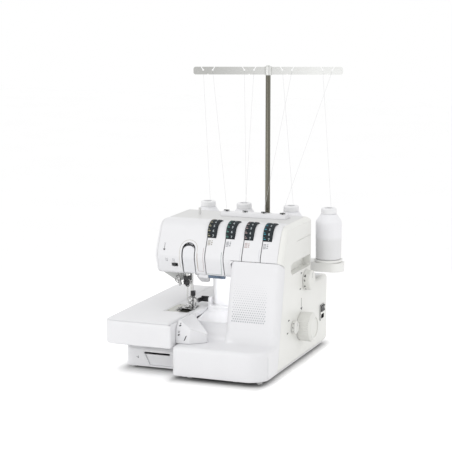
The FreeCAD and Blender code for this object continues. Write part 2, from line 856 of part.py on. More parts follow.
def rear_cover():
    right = side_seam - seam
    front = head_rear + seam
    corners = [(front, cover_bottom), (base_rear, cover_bottom), (base_rear, deck_top, deck_round),
               (front, deck_top)]
    outer = prism("yz", corners, column_left, right)
    outer = rounded(outer, deck_round - 1,
                    lambda e: level_edge(e, "x", column_left) and e.BoundBox.YMax > front + 1
                    and e.BoundBox.ZMax > cover_bottom + 1)
    inner = prism("yz", [(front - sliver, cover_bottom - sliver),
                         (base_rear - wall, cover_bottom - sliver),
                         (base_rear - wall, deck_top - wall, deck_round - wall),
                         (front - sliver, deck_top - wall)],
                  column_left + wall, right + sliver)
    inner = rounded(inner, deck_round - 1 - wall, lambda e: level_edge(e, "x", column_left + wall)
                    and e.BoundBox.YMax > front + 1 and e.BoundBox.ZMax > cover_bottom + 1)
    side = box(column_left, column_left + wall, column_front + wall, front, cover_bottom, bed_top)
    cover = fuse(outer.cut(inner), side)
    tools = [rod("z", mast_x, mast_y, mast_radius + tube_wall + 2 * seat, deck_top - 2 * wall,
                 deck_top + sliver)]
    vent_count = 9
    vent_pitch = 7.0
    vent_left = mast_x + past
    for i in range(vent_count):
        x = vent_left + i * vent_pitch
        tools.append(box(x, x + vent_pitch / 2, base_rear - 2 * wall, base_rear + sliver, motor_z - 16,
                         motor_z + 16))
    return cover.cut(tools)


def column_cover():
    low = bed_top + seat
    high = head_bottom - seam
    right = tower_left - seam
    corners = [(column_left, head_rear - wall - seam), (column_left, column_front, column_round),
               (right, column_front),
               (right, head_rear - wall - seam)]
    inner = [(column_left + wall, head_rear), (column_left + wall, column_front + wall,
                                               column_round - wall),
             (right + sliver, column_front + wall), (right + sliver, head_rear)]
    shell = prism("xy", corners, low, high).cut(prism("xy", inner, low - sliver, high + sliver))
    back = panel_return + seam
    wing = prism("yz", [(column_front + wall, scoop_top + seam), (column_front + wall, high),
                        (panel_y(high, back), high),
                        (panel_y(scoop_top, back), scoop_top + seam)], right - wall, right)
    return fuse(shell, wing)


def cloth_ledge():
    # Sloping shelf right of the needle plate, with a raised lip in front of the column.
    right = tower_left - seam - wall - seam
    front = scoop_y + wall + seam
    top = [(front, scoop_top), (ridge_lip_y, ledge_back_z, 2.0), (ridge_lip_y, ridge_lip_z, 2.0),
           (column_front - seam, ridge_lip_z)]
    under = [(column_front - seam, ledge_back_z - ledge_thick), (ridge_lip_y, ledge_back_z - ledge_thick),
             (front, scoop_top - ledge_thick)]
    left = scoop_left
    ledge = prism("yz", top + under, left, right)
    post = prism("yz", [(knife_pivot_y - knife_hub, ridge_lip_z - sliver),
                        (knife_pivot_y - knife_hub, knife_pivot_z + knife_hub, 6),
                        (knife_pivot_y + knife_hub, knife_pivot_z + knife_hub, 6),
                        (knife_pivot_y + knife_hub, ridge_lip_z - sliver)],
                 left, left + knife_hub)
    pin = rod("x", knife_pivot_y, knife_pivot_z, knife_pin, left - knife_hub_length + 2, left + sliver)
    return fuse(ledge, post, pin)


def free_arm():
    low = table_bottom
    corners = [(arm_left, arm_front, arm_corner), (arm_right, arm_front, 3), (arm_right, table_rear),
               (arm_left, table_rear, arm_corner)]
    outer = prism("xy", corners, low, bed_top)
    inner = prism("xy", [(arm_left + wall, arm_front + wall, arm_corner - wall),
                         (arm_right - wall, arm_front + wall),
                         (arm_right - wall, table_rear - wall), (arm_left + wall, table_rear - wall)],
                  low - sliver, bed_top - wall)
    side_window = box(arm_right - 2 * wall, arm_right + sliver, arm_front + 2 * wall, plate_rear,
                      low - sliver, bed_top - 3 * wall)
    plate_window = box(arm_left + plate_lip + seat, plate_right + seat, arm_front + plate_lip,
                       plate_rear + seat,
                       bed_top - plate_thick - seat, bed_top + sliver)
    well = box(arm_left + 2 * plate_lip + wall, plate_right - plate_lip, arm_front + 2 * plate_lip,
               plate_rear - plate_lip,
               bed_top - 4 * wall, bed_top + sliver)
    shelf = box(arm_left + wall, arm_right - wall, arm_front + wall, plate_rear + 2 * wall,
                bed_top - plate_thick - wall,
                bed_top - wall)
    knife_slot = box(plate_right - sliver, plate_right + knife_thick + 2 * slip,
                     needle_y - knife_width / 2 - slip,
                     needle_y + knife_width / 2 + slip, low, bed_top + sliver)
    return fuse(outer.cut(inner), shelf).cut([side_window, plate_window, well, knife_slot])


def extension_table():
    corners = [(table_left, table_front, table_corner), (table_right, table_front, 4.0),
               (table_right, arm_front - slip),
               (arm_left - slip, arm_front - slip), (arm_left - slip, table_rear),
               (table_left, table_rear, table_corner)]
    outer = prism("xy", corners, table_bottom, bed_top)
    outer = rounded(outer, 3.0,
                    lambda e: level_edge(e, "z", table_bottom) and e.BoundBox.XMax < arm_left - 2 * slip)
    outer = rounded(outer, table_edge, lambda e: level_edge(e, "z", bed_top) and (
        e.BoundBox.XMin < table_left + 1 or e.BoundBox.YMax < table_front + table_corner)
        and e.BoundBox.XMax < table_right - 1)
    inner = prism("xy", corners, table_bottom - sliver, bed_top - wall, wall)
    shell = outer.cut(inner)
    ribs = []
    for x in (base_left + 24, base_left + 54):
        ribs.append(box(x, x + rib_thick, table_front + wall, table_rear - wall, table_bottom,
                        bed_top - wall / 2))
    return fuse(shell, *ribs)


def panel_block(inset):
    # Tall right part of the looper cover, as a solid drawn inside its skin by the inset.
    open_back = panel_return if inset == 0 else panel_return + 30
    left = tower_left + inset
    right = body_right - inset
    shift = inset / math.cos(math.atan(panel_slope))
    top = panel_top - inset
    toe = tray_top - inset
    low = tray_bottom + 4 if inset == 0 else tray_bottom - 4
    front = panel_foot_y - 1.6 * panel_foot_round
    back_top = top - panel_top_drop * (1 if inset == 0 else open_back / panel_return)
    corners = [(panel_y(top, shift), top), (panel_y(toe, shift), toe, panel_foot_round + inset),
               (front, toe), (front, low),
               (panel_y(low, open_back), low), (panel_y(back_top, open_back), back_top)]
    block = prism("yz", corners, left, right)

    def front_line(edge, x):
        middle = edge.valueAt((edge.FirstParameter + edge.LastParameter) / 2)
        on_front = abs(middle.y - panel_y(middle.z, shift)) < 0.05
        return level_edge(edge, "x", x) and on_front and middle.z > tray_top + panel_foot_round / 2
    block = rounded(block, panel_left_round - inset, lambda e: front_line(e, left))
    return rounded(block, panel_right_round - inset, lambda e: front_line(e, right))


def tray_block(inset):
    low = tray_bottom if inset == 0 else tray_bottom - sliver
    left = tray_left + inset
    right = body_right - inset
    front = tray_front + inset
    back = panel_foot_y + (0 if inset == 0 else sliver)
    block = prism("xy", [(left, front, tray_left_round - inset), (right, front, tray_right_round - inset),
                         (right, back),
                         (left, back)], low, tray_top - inset)
    top = tray_top - inset
    return rounded(block, tray_edge - inset,
                   lambda e: level_edge(e, "z", top) and e.BoundBox.YMin < back - 1)


def scoop_block(inset):
    # Curved slide between the apron and the panel, down which the trimmings leave.
    low = tray_bottom + 4 if inset == 0 else tray_bottom - 4
    back = scoop_y + wall if inset == 0 else scoop_y + 30
    top = scoop_top if inset == 0 else scoop_top + sliver
    corners = [(scoop_y + inset, top), (scoop_y + inset, tray_top - inset, scoop_round + inset),
               (scoop_y - 2 * scoop_round, tray_top - inset), (scoop_y - 2 * scoop_round, low),
               (back, low), (back, top)]
    return prism("yz", corners, scoop_left + inset, tower_left + panel_left_round + wall)


def front_cover():
    outer = fuse(tray_block(0), panel_block(0), scoop_block(0))
    cover = outer.cut([tray_block(wall), panel_block(wall), scoop_block(wall)])
    inner_front = tray_front + wall
    for x, tip in ((lug_left + lug_width + slip, lug_left - slip),
                   (lug_right - slip - lug_width, lug_right + lug_width + slip)):
        ear = rod("x", trunnion_y, trunnion_z, lug_radius, x, x + lug_width)
        web = box(x, x + lug_width, inner_front - sliver, trunnion_y, trunnion_z - lug_radius + 0.5,
                  trunnion_z + lug_radius)
        stub = rod("x", trunnion_y, trunnion_z, trunnion_radius, min(x, tip), max(x + lug_width, tip))
        cover = fuse(cover, ear, web, stub)
    return cover


def front_apron():
    # Nose in front of the needle plate: narrowing in plan and falling to a ramp at the right.
    back = arm_front - slip
    base = tray_top + seam
    foot = apron_front - apron_flare
    plan = prism("xy", [(tray_left, back), (apron_crest, back), (apron_right, apron_cut_y),
                        (apron_right, apron_cut_y - apron_end), (apron_crease, foot), (tray_left, foot)],
                 base, bed_top)
    nose = prism("yz", [(back, bed_top), (apron_front + apron_round, bed_top),
                        (apron_front, bed_top - apron_round), (foot, base), (back, base)],
                 tray_left, apron_right)
    fall = prism("xz", [(apron_crest, bed_top), (apron_right + sliver, apron_cut_z),
                        (apron_right + sliver, bed_top + sliver), (apron_crest, bed_top + sliver)],
                 apron_front - past, back + sliver)
    return plan.common(nose).cut([fall, scoop_block(-seam)])


# Needle area

def needle_plate():
    plate = prism("xy", [(arm_left + plate_lip + 2 * seat, arm_front + plate_lip + seat, 4),
                         (plate_right, arm_front + plate_lip + seat, 1.5),
                         (plate_right, plate_rear, 1.5),
                         (arm_left + plate_lip + 2 * seat, plate_rear, 4)],
                  bed_top - plate_thick, bed_top)
    tools = [box(needle_x - needle_gap - 2, needle_x + needle_gap + 2, needle_y - 2.5, needle_y + 2.5, 0,
                 bed_top + sliver)]
    for y, length in ((dog_front_y, dog_front_length), (dog_rear_y, dog_rear_length)):
        reach = length / 2 + dog_travel + slip
        tools.append(box(dog_x - dog_width / 2 - slip, dog_x + dog_width / 2 + slip, y - reach, y + reach,
                         0, bed_top + sliver))
    return plate.cut(tools)


def feed_dog(y, length):
    low = bed_top - dog_height
    top = bed_top - seat
    pitch = length / dog_teeth
    corners = [(y - length / 2, low), (y - length / 2, top - 1.0)]
    for i in range(dog_teeth):
        start = y - length / 2 + i * pitch
        corners.append((start + 0.8 * pitch, top))
        corners.append((start + pitch, top - 1.0))
    corners.append((y + length / 2, low))
    bar = prism("yz", corners, dog_x - dog_width / 2, dog_x + dog_width / 2)
    groove = box(dog_x - dog_width / 6, dog_x + dog_width / 6, y - length, y + length, top - 2.0,
                 top + sliver)
    stem = box(dog_x - dog_stem / 2, dog_x + dog_stem / 2, y - dog_stem / 2, y + dog_stem / 2,
               riser_top + seam, low + sliver)
    shoe = box(dog_x - dog_width / 2, dog_x + dog_width / 2, y - length / 2, y + length / 2,
               riser_top + seam,
               riser_top + seam + dog_stem / 2)
    return fuse(bar.cut(groove), stem, shoe)


def lower_knife():
    left = plate_right + seat
    corners = [(needle_y - knife_width / 2, bed_top - knife_height),
               (needle_y + knife_width / 2, bed_top - knife_height),
               (needle_y + knife_width / 2, bed_top - 0.5), (needle_y - knife_width / 2, bed_top - 2.0)]
    return prism("yz", corners, left, left + knife_thick)


def upper_knife():
    # Blade that shears past the lower knife, on an arm that comes forward from its pivot.
    left = plate_right + seat + knife_thick + seat
    front = needle_y - knife_width / 2
    back = needle_y + knife_width / 2
    high = bed_top + knife_height
    blade = prism("yz", [(front, bed_top + 1.5), (back, bed_top + 4.0), (back, high), (front, high)],
                  left, left + knife_thick)
    arm = prism("yz", [(front, high - 9), (back + 4, high - 12),
                       (knife_pivot_y - 4, knife_pivot_z - knife_hub + 2),
                       (knife_pivot_y, knife_pivot_z + knife_hub - 2, 2), (back + 6, high - 3, 4),
                       (front, high, 2)],
                left + knife_thick - sliver / 2, left + knife_thick + 3)
    hub_left = left + knife_thick - sliver
    hub = ribbed("x", knife_pivot_y, knife_pivot_z, knife_hub, 1.0, 12, hub_left,
                 hub_left + knife_hub_length)
    bore = rod("x", knife_pivot_y, knife_pivot_z, knife_pin + run_fit, left,
               hub_left + knife_hub_length + sliver)
    return fuse(blade, arm, hub).cut(bore)


def needle_bar():
    return rod("z", needle_x, needle_y, needle_bar_radius, needle_bar_bottom, needle_bar_top)


def needle_clamp():
    half = clamp_size / 2
    low = needle_bar_bottom - clamp_height
    block = prism("xy", [(needle_x - half, needle_y - half, 2), (needle_x + half, needle_y - half, 2),
                         (needle_x + half, needle_y + half, 2),
                         (needle_x - half, needle_y + half, 2)], low + clamp_tip, needle_bar_bottom)
    tip = Part.makeCone(half * 0.5, half * 0.9, clamp_tip, V(needle_x, needle_y, low))
    screws = [rod("y", needle_x + side * half / 2, low + clamp_screw_z, clamp_screw, needle_y - half - 3,
                  needle_y) for side in (-1, 1)]
    knob = rod("x", needle_y, low + clamp_screw_z + 2, clamp_screw, needle_x, needle_x + half + 4)
    return fuse(block, tip, knob, *screws)


def needles():
    top = needle_bar_bottom - clamp_height
    solids = []
    for side in (-0.5, 0.5):
        x = needle_x + side * needle_gap / 2
        shank = rod("z", x, needle_y, needle_radius, top - 0.7 * needle_length, top)
        point = Part.makeCone(0.1, needle_radius, 0.3 * needle_length,
                              V(x, needle_y, top - needle_length))
        solids.append(shank.fuse(point).removeSplitter())
    return Part.makeCompound(solids)


def presser_bar():
    return rod("z", needle_x, presser_y, presser_radius, ankle_top, needle_bar_top - 2)


def presser_foot():
    low = bed_top + slip / 2
    front = presser_y + sole_heel - sole_length
    left = needle_x - sole_width / 2
    right = plate_right - slip
    sole = prism("yz", [(front, low + sole_tip), (front + sole_turn, low, sole_heel),
                        (presser_y + sole_heel, low), (presser_y + sole_heel, low + sole_thick),
                        (front + sole_turn, low + sole_thick, 4),
                        (front, low + sole_tip + sole_thick - 1)], left, right)
    slot = box(needle_x - needle_gap - 1, needle_x + needle_gap + 1, needle_y - sole_heel,
               needle_y + sole_heel, low - sliver, low + 4 * sole_thick)
    toe_gap = box(dog_x - foot_screw / 2, dog_x + foot_screw / 2, front - sliver, needle_y, low - sliver,
                  low + 4 * sole_thick)
    ankle = prism("yz", [(presser_y - ankle_depth / 2 - 4, low + sole_thick - sliver),
                         (presser_y - ankle_depth / 2, ankle_top, 2),
                         (presser_y + ankle_depth / 2, ankle_top, 2),
                         (presser_y + ankle_depth / 2, low + sole_thick - sliver)],
                  needle_x - ankle_width / 2, needle_x + ankle_width / 2)
    screw = rod("x", presser_y, ankle_top - 2 * foot_screw, foot_screw, needle_x,
                needle_x + ankle_width / 2 + sole_tip)
    return fuse(sole.cut([slot, toe_gap]), ankle, screw)


def foot_lifter():
    # Lever on a pin in the head, with a broad finger tab behind the presser foot.
    left = needle_x - lifter_thick / 2
    right = needle_x + lifter_thick / 2
    low = head_bottom - lever_drop
    tab_front = lifter_y + lifter_length - tab_thick
    hub = rod("x", lifter_y, lifter_z, 2.2 * lifter_pin, left, right)
    lever = prism("yz", [(lifter_y - lever_front, lifter_z), (lifter_y - 2, low - 2, lever_front),
                         (tab_front, low - lever_back),
                         (tab_front + tab_thick, low - lever_back), (tab_front + tab_thick, low, 3),
                         (lifter_y + lever_back, low + lever_back, lever_front),
                         (lifter_y + lever_front, lifter_z)], left, right)
    tab = prism("xz", [(tab_left, tab_low + tab_chamfer), (tab_left + tab_chamfer, tab_low, 3),
                       (right, tab_low, 4), (right, low - 4),
                       (tab_left, low - 4, 4)], tab_front, tab_front + tab_thick)
    return fuse(hub, lever, tab).cut(rod("x", lifter_y, lifter_z, lifter_pin + run_fit, left - sliver,
                                         right + sliver))


def threader_lever():
    stem = rod("z", threader_x, threader_y, threader_radius, threader_bottom + threader_hook / 2,
               threader_top)
    blade = prism("xz", [(threader_x - threader_reach, threader_bottom + threader_hook, 1),
                         (threader_x + 3, threader_bottom + threader_hook, 1),
                         (threader_x + threader_reach, threader_bottom + 4, 1),
                         (threader_x + 2, threader_bottom, 1),
                         (threader_x - 1, threader_bottom + threader_hook / 2, 1)],
                  threader_y - threader_radius - 1, threader_y + threader_radius - 1)
    head = rod("z", threader_x, threader_y, 2 * threader_radius, threader_top - 3, threader_top)
    return fuse(stem, blade, head)


def needle_switch():
    half = switch_width / 2
    z0 = switch_z - switch_height / 2
    z1 = switch_z + switch_height / 2
    face = front_y(switch_z)
    inside = front_y(z0 - 3) + wall + 2 * slip
    knob = prism("xy", [(switch_x - half, inside), (switch_x - half + 1.5, face - switch_reach, 1),
                        (switch_x + half - 1.5, face - switch_reach, 1),
                        (switch_x + half, inside)], z0, z1)
    flange = box(switch_x - half - switch_travel, switch_x + half + switch_travel, inside, inside + 2,
                 z0 - 3, z1 + 3)
    return fuse(knob, flange)


def take_up_lever():
    left = take_up_x - take_up_width / 2
    right = take_up_x + take_up_width / 2
    inner = prism("yz", head_corners(), left, right, take_up_set_back)
    core = prism("yz", head_corners(), left - sliver, right + sliver, take_up_set_back + take_up_thick)
    arch = prism("xz", [(left, head_bottom + 2), (right, head_bottom + 2),
                        (right, take_up_top, take_up_width / 2 - sliver),
                        (left, take_up_top, take_up_width / 2 - sliver)], ridge_y - past, chin_y + 6)
    band = inner.cut(core).common(arch)
    edge = front_y(take_up_top) + take_up_set_back + take_up_thick / 2
    hub_left = take_up_x - take_up_hub / 2 + 1.0
    arm = prism("yz", [(edge, take_up_top), (edge + 1, take_up_top - 10),
                       (take_up_pivot_y, take_up_pivot_z - 2 * take_up_pin),
                       (take_up_pivot_y, take_up_pivot_z + take_up_pin)], hub_left,
                hub_left + take_up_hub)
    hub = rod("x", take_up_pivot_y, take_up_pivot_z, 2 * take_up_pin, hub_left, hub_left + take_up_hub)
    bore = rod("x", take_up_pivot_y, take_up_pivot_z, take_up_pin + run_fit, left - sliver, right)
    return fuse(band, arm, hub).cut(bore)


def lamp_lens():
    high = head_bottom - seat
    return prism("yz", [(chin_y + 4, high), (chin_y + 6, high - lamp_height, 2),
                        (chin_y + 4 + lamp_depth, high - lamp_height, 2),
                        (chin_y + 6 + lamp_depth, high)], lamp_left, lamp_left + lamp_width)


# Tension unit

def tension_shaft():
    right = side_seam - frame_gap
    return rod("x", dial_y, dial_z, tension_shaft_radius, upper_lug_xs[0] - upper_lug_thick / 2, right)


def tension_dial(x):
    left = x - dial_width / 2
    right = x + dial_width / 2
    rim = ribbed("x", dial_y, dial_z, dial_radius, dial_rib_depth, dial_ribs, left, right)
    hollow = rod("x", dial_y, dial_z, dial_radius - 3 * wall, left - sliver, left + dial_width / 3)
    hub = rod("x", dial_y, dial_z, 2 * tension_shaft_radius, left, right)
    bore = rod("x", dial_y, dial_z, tension_shaft_radius + run_fit, left - sliver, right + sliver)
    return fuse(rim.cut(hollow), hub).cut(bore)


# Drive

def main_shaft():
    shaft = rod("x", shaft_y, shaft_z, shaft_radius, shaft_left, wheel_left + wheel_width - 4)
    collar = rod("x", shaft_y, shaft_z, shaft_radius + bush_wall, shaft_left,
                 pillar_xs[0] - bush_length / 2 - run_fit)
    return fuse(shaft, collar)


def hand_wheel():
    right = wheel_left + wheel_width
    rim = ribbed("x", shaft_y, shaft_z, wheel_radius, wheel_rib_depth, wheel_ribs, wheel_left + 3,
                 right - wheel_chamfer)
    back = rod("x", shaft_y, shaft_z, wheel_radius - 1, wheel_left, wheel_left + 3)
    cap = Part.makeCone(wheel_radius - wheel_rib_depth, wheel_radius - wheel_rib_depth - wheel_chamfer,
                        wheel_chamfer, V(right - wheel_chamfer, shaft_y, shaft_z), V(1, 0, 0))
    dish = rod("x", shaft_y, shaft_z, wheel_radius - wheel_dish, right - wheel_dish_depth, right + sliver)
    bore = rod("x", shaft_y, shaft_z, shaft_radius, wheel_left - sliver, right - 4)
    return fuse(back, rim, cap).cut([dish, bore])


def pulley(y, z, radius, x):
    # Flat pulley with a flange at each side of the belt.
    body = rod("x", y, z, radius, x, x + pulley_width)
    flanges = [rod("x", y, z, radius + belt_thick, side, side + belt_inset - belt_gap)
               for side in (x, x + pulley_width - belt_inset + belt_gap)]
    return fuse(body, *flanges)


def shaft_pulleys():
    bore = rod("x", shaft_y, shaft_z, shaft_radius, pulley_x - 60, pulley_x + 60)
    drive = pulley(shaft_y, shaft_z, drive_pulley_radius, pulley_x).cut(bore)
    timing = pulley(shaft_y, shaft_z, arm_pulley_radius, arm_pulley_x).cut(bore)
    return Part.makeCompound([drive, timing])


def motor_pulley():
    body = pulley(motor_y, motor_z, motor_pulley_radius, pulley_x)
    return body.cut(rod("x", motor_y, motor_z, motor_shaft_radius + run_fit, pulley_x - sliver,
                        pulley_x + pulley_width + sliver))


def belt(start, end, x):
    # Endless flat belt round two pulleys, each given as (y, z, radius).
    low = x + belt_inset
    high = x + pulley_width - belt_inset

    def loop(extra):
        (y0, z0, r0), (y1, z1, r1) = start, end
        r0 += extra
        r1 += extra
        along = V(y1 - y0, z1 - z0, 0)
        length = along.Length
        heading = math.atan2(along.y, along.x)
        lean = math.acos((r0 - r1) / length)

        def on(y, z, r, turn):
            return place("yz", y + r * math.cos(turn), z + r * math.sin(turn), low)
        a0 = on(y0, z0, r0, heading + lean)
        a1 = on(y1, z1, r1, heading + lean)
        b0 = on(y0, z0, r0, heading - lean)
        b1 = on(y1, z1, r1, heading - lean)
        edges = [Part.LineSegment(a0, a1).toShape(), Part.Arc(a1, on(y1, z1, r1, heading), b1).toShape(),
                 Part.LineSegment(b1, b0).toShape(),
                 Part.Arc(b0, on(y0, z0, r0, heading + math.pi), a0).toShape()]
        return Part.Face(Part.Wire(edges)).extrude(V(high - low, 0, 0))
    return loop(belt_gap + belt_thick).cut(loop(belt_gap))


def drive_belt():
    return belt((shaft_y, shaft_z, drive_pulley_radius), (motor_y, motor_z, motor_pulley_radius),
                pulley_x)


def arm_belt():
    return belt((shaft_y, shaft_z, arm_pulley_radius), (needle_y, upper_z, arm_pulley_radius),
                arm_pulley_x)


def motor():
    right = motor_right
    can = rod("x", motor_y, motor_z, motor_radius, motor_left, right - motor_bell)
    bell = Part.makeCone(motor_radius, motor_radius * 0.7, motor_bell,
                         V(right - motor_bell, motor_y, motor_z), V(1, 0, 0))
    nose = rod("x", motor_y, motor_z, motor_bell, right, pulley_x - slip)
    shaft = rod("x", motor_y, motor_z, motor_shaft_radius, right, pulley_x + pulley_width - 1)
    return fuse(can, bell, nose, shaft)


def upper_shaft():
    left = needle_x + needle_bar_radius + 3 * slip
    shaft = rod("x", needle_y, upper_z, upper_radius, left, arm_pulley_x + pulley_width + 2)
    crank = rod("x", needle_y, upper_z, crank_radius, left, left + crank_thick)
    scallop = rod("x", needle_y, upper_z + 1.9 * crank_radius, crank_radius, left - sliver,
                  left + crank_thick + sliver)
    return fuse(shaft, crank.cut(scallop), pulley(needle_y, upper_z, arm_pulley_radius, arm_pulley_x))


def looper(x, y, z, reach):
    # Curved looper arm drawn from its pivot to its pointed tip.
    half = looper_thick / 2
    hub = rod("y", x, z, looper_hub, y - half, y + half)
    tip_x, tip_z = reach
    elbow_x = x + 0.45 * (tip_x - x)
    arm = prism("xz", [(x - looper_hub + 1, z), (elbow_x - 4, tip_z - 9, 8), (tip_x, tip_z - 1),
                       (elbow_x, tip_z + 3, 10),
                       (x + looper_hub - 1, z + 2)], y - half, y + half)
    return fuse(hub, arm).cut(rod("y", x, z, looper_pin + run_fit, y - looper_thick, y + looper_thick))


def lower_looper():
    return looper(lower_looper_x, lower_looper_y, lower_looper_z, (needle_x - 3, bed_top - 21))


def upper_looper():
    return looper(upper_looper_x, upper_looper_y, upper_looper_z, (needle_x + 22, bed_top - 19))


# Right side controls

def side_dial(y, z, radius, width):
    left = body_right + slip
    rim = ribbed("x", y, z, radius, side_dial_rib_depth, side_dial_ribs, left, left + width - 2)
    cap = Part.makeCone(radius - side_dial_rib_depth, radius - 3, 2, V(left + width - 2, y, z),
                        V(1, 0, 0))
    spindle = rod("x", y, z, spindle_radius, side_seam + 2, left + sliver)
    return fuse(rim, cap, spindle)


def power_inlet():
    right = body_right + inlet_proud
    left = body_right - inlet_depth
    half_w = inlet_width / 2
    half_h = inlet_height / 2
    flange = prism("yz", [(inlet_y - half_w, inlet_z - half_h, 3),
                          (inlet_y + half_w, inlet_z - half_h, 3),
                          (inlet_y + half_w, inlet_z + half_h, 3),
                          (inlet_y - half_w, inlet_z + half_h, 3)], body_right + seat, right)
    body = box(left, body_right + sliver, inlet_y - half_w + 2 + seat, inlet_y + half_w - 2 - seat,
               inlet_z - half_h + 2 + seat,
               inlet_z + half_h - 2 - seat)
    socket_z = inlet_z - half_h / 2
    socket = prism("yz", [(inlet_y - socket_width / 2, socket_z - socket_height / 2, 3),
                          (inlet_y + socket_width / 2, socket_z - socket_height / 2, 3),
                          (inlet_y + socket_width / 2, socket_z + socket_height / 2, 3),
                          (inlet_y - socket_width / 2, socket_z + socket_height / 2, 3)],
                   right - socket_depth, right + sliver)
    rocker_z = inlet_z + half_h / 2
    room = box(right - rocker_depth - 3, right + sliver, inlet_y - rocker_width / 2 - slip,
               inlet_y + rocker_width / 2 + slip,
               rocker_z - rocker_height / 2 - slip, rocker_z + rocker_height / 2 + slip)
    pins = [rod("x", inlet_y + side * 5, socket_z, 1.2, right - socket_depth - sliver,
                right - 3) for side in (-1, 1)]
    return fuse(fuse(flange, body).cut([socket, room]), *pins)


def power_switch():
    right = body_right + inlet_proud
    rocker_z = inlet_z + inlet_height / 4
    half = rocker_height / 2 - 0.4
    corners = [(right - rocker_depth, rocker_z), (right - 1, rocker_z - half),
               (right + 2.5, rocker_z - half), (right + 1.0, rocker_z),
               (right + 2.5, rocker_z + half), (right - 1, rocker_z + half)]
    return prism("xz", corners, inlet_y - rocker_width / 2, inlet_y + rocker_width / 2)


# Thread stand

def mast_tube():
    outer = mast_radius + tube_wall
    tube = rod("z", mast_x, mast_y, outer, frame_top + seat, tube_top)
    collar = rod("z", mast_x, mast_y, collar_radius, tube_top - collar_height, tube_top)
    bore = rod("z", mast_x, mast_y, mast_radius + run_fit, frame_top, tube_top + sliver)
    return fuse(tube, collar).cut(bore)


def mast_rod():
    return rod("z", mast_x, mast_y, mast_radius, mast_bottom, mast_top)


def guide_bar():
    low = mast_top + seat + (bar_hub_height - bar_height) / 2
    high = low + bar_height
    half = bar_length / 2
    plate = prism("xz", [(-half, low, 5), (half, low, 5), (half, high, 5), (-half, high, 5)],
                  -bar_thick / 2, bar_thick / 2)
    tools = []
    for station in bar_stations:
        for side in (-1, 1):
            top_x = station + side * hook_gap / 2
            eye_x = top_x - side * hook_lean
            eye_z = high - hook_depth
            slot = prism("xz", [(top_x - hook_width / 2, high + sliver),
                                (top_x + hook_width / 2, high + sliver), (eye_x + hook_width / 2, eye_z),
                                (eye_x - hook_width / 2, eye_z)], -bar_thick, bar_thick)
            tools += [slot, rod("y", eye_x, eye_z, hook_eye, -bar_thick, bar_thick)]
        tools.append(prism("xz", [(station - notch_depth, low - sliver),
                                  (station + notch_depth, low - sliver), (station, low + notch_depth)],
                           -bar_thick, bar_thick))
    plate = plate.cut(tools)
    hub = rod("z", 0, 0, bar_hub_radius, mast_top + seat, mast_top + seat + bar_hub_height)
    screw = rod("z", 0, 0, bar_screw_radius, mast_top + seat + bar_hub_height - sliver,
                mast_top + seat + bar_hub_height + bar_screw_height)
    bar = fuse(plate, hub, screw)
    bar.rotate(V(0, 0, 0), V(0, 0, 1), bar_turn)
    bar.translate(V(mast_x, mast_y, 0))
    return bar


def spool_stand():
    front = mast_y - stand_depth / 2
    back = mast_y + stand_depth / 2
    low = stand_top - stand_height
    end = stand_depth / 2 - 0.5
    corners = [(stand_left, front, end), (stand_right, front, end), (stand_right, back, end),
               (stand_left, back, end)]
    shell = prism("xy", corners, low, stand_top).cut(prism("xy", corners, low - sliver, stand_top - wall,
                                                           wall))
    half = stand_foot_width / 2
    foot = prism("xy", [(mast_x - half, front + stand_foot_inset, stand_foot_round),
                        (mast_x + half, front + stand_foot_inset, stand_foot_round),
                        (mast_x + half, back - stand_foot_inset, stand_foot_round),
                        (mast_x - half, back - stand_foot_inset, stand_foot_round)],
                 deck_top + seat, stand_top - wall / 2)
    hollow = prism("xy", [(mast_x - half, front + stand_foot_inset, stand_foot_round),
                          (mast_x + half, front + stand_foot_inset, stand_foot_round),
                          (mast_x + half, back - stand_foot_inset, stand_foot_round),
                          (mast_x - half, back - stand_foot_inset, stand_foot_round)],
                   deck_top, stand_top - wall, wall)
    hub = rod("z", mast_x, mast_y, collar_radius, deck_top + seat, stand_top)
    ribs = [box(stand_left + wall, stand_right - wall, y - rib_thick / 2, y + rib_thick / 2, low + 4,
                stand_top - wall / 2)
            for y in (mast_y - stand_rib_y, mast_y + stand_rib_y)]
    stand = fuse(shell, foot.cut(hollow), hub, *ribs)
    return stand.cut(rod("z", mast_x, mast_y, mast_radius + tube_wall + seat, 0, stand_top + sliver))


def cone_seats():
    low = stand_top + seat
    solids = []
    for x in cone_xs:
        disc = Part.makeCone(seat_radius - 3, seat_radius, seat_thick / 2, V(x, mast_y, low))
        rim = rod("z", x, mast_y, seat_radius, low + seat_thick / 2, low + seat_thick)
        pin = rod("z", x, mast_y, pin_radius, low, low + seat_thick + pin_height)
        solids.append(fuse(disc, rim, pin))
    return Part.makeCompound(solids)


def cone_low():
    return stand_top + seat + seat_thick + seat


def cone_cores():
    low = cone_low()
    solids = []
    for x in cone_xs:
        wires = outline("xz", [(core_bore, low), (core_radius, low),
                               (core_radius, low + core_height - core_cap),
                               (core_radius + 1.2, low + core_height - core_cap + 2),
                               (core_radius + 1.2, low + core_height, 3),
                               (core_bore, low + core_height)], 0)
        core = Part.Face(wires).revolve(V(0, 0, 0), V(0, 0, 1), 360)
        core.translate(V(x, mast_y, 0))
        solids.append(core)
    return Part.makeCompound(solids)


def thread_cones():
    low = cone_low()
    inner = core_radius + seat
    top = low + core_height - core_cap - seat
    solids = []
    for x in cone_xs:
        wires = outline("xz", [(inner, low), (cone_radius - cone_taper, low, 4),
                               (cone_radius, low + cone_shoulder, cone_round), (inner + 1.5, top),
                               (inner, top)], 0)
        cone = Part.Face(wires).revolve(V(0, 0, 0), V(0, 0, 1), 360)
        cone.translate(V(x, mast_y, 0))
        solids.append(cone)
    return Part.makeCompound(solids)


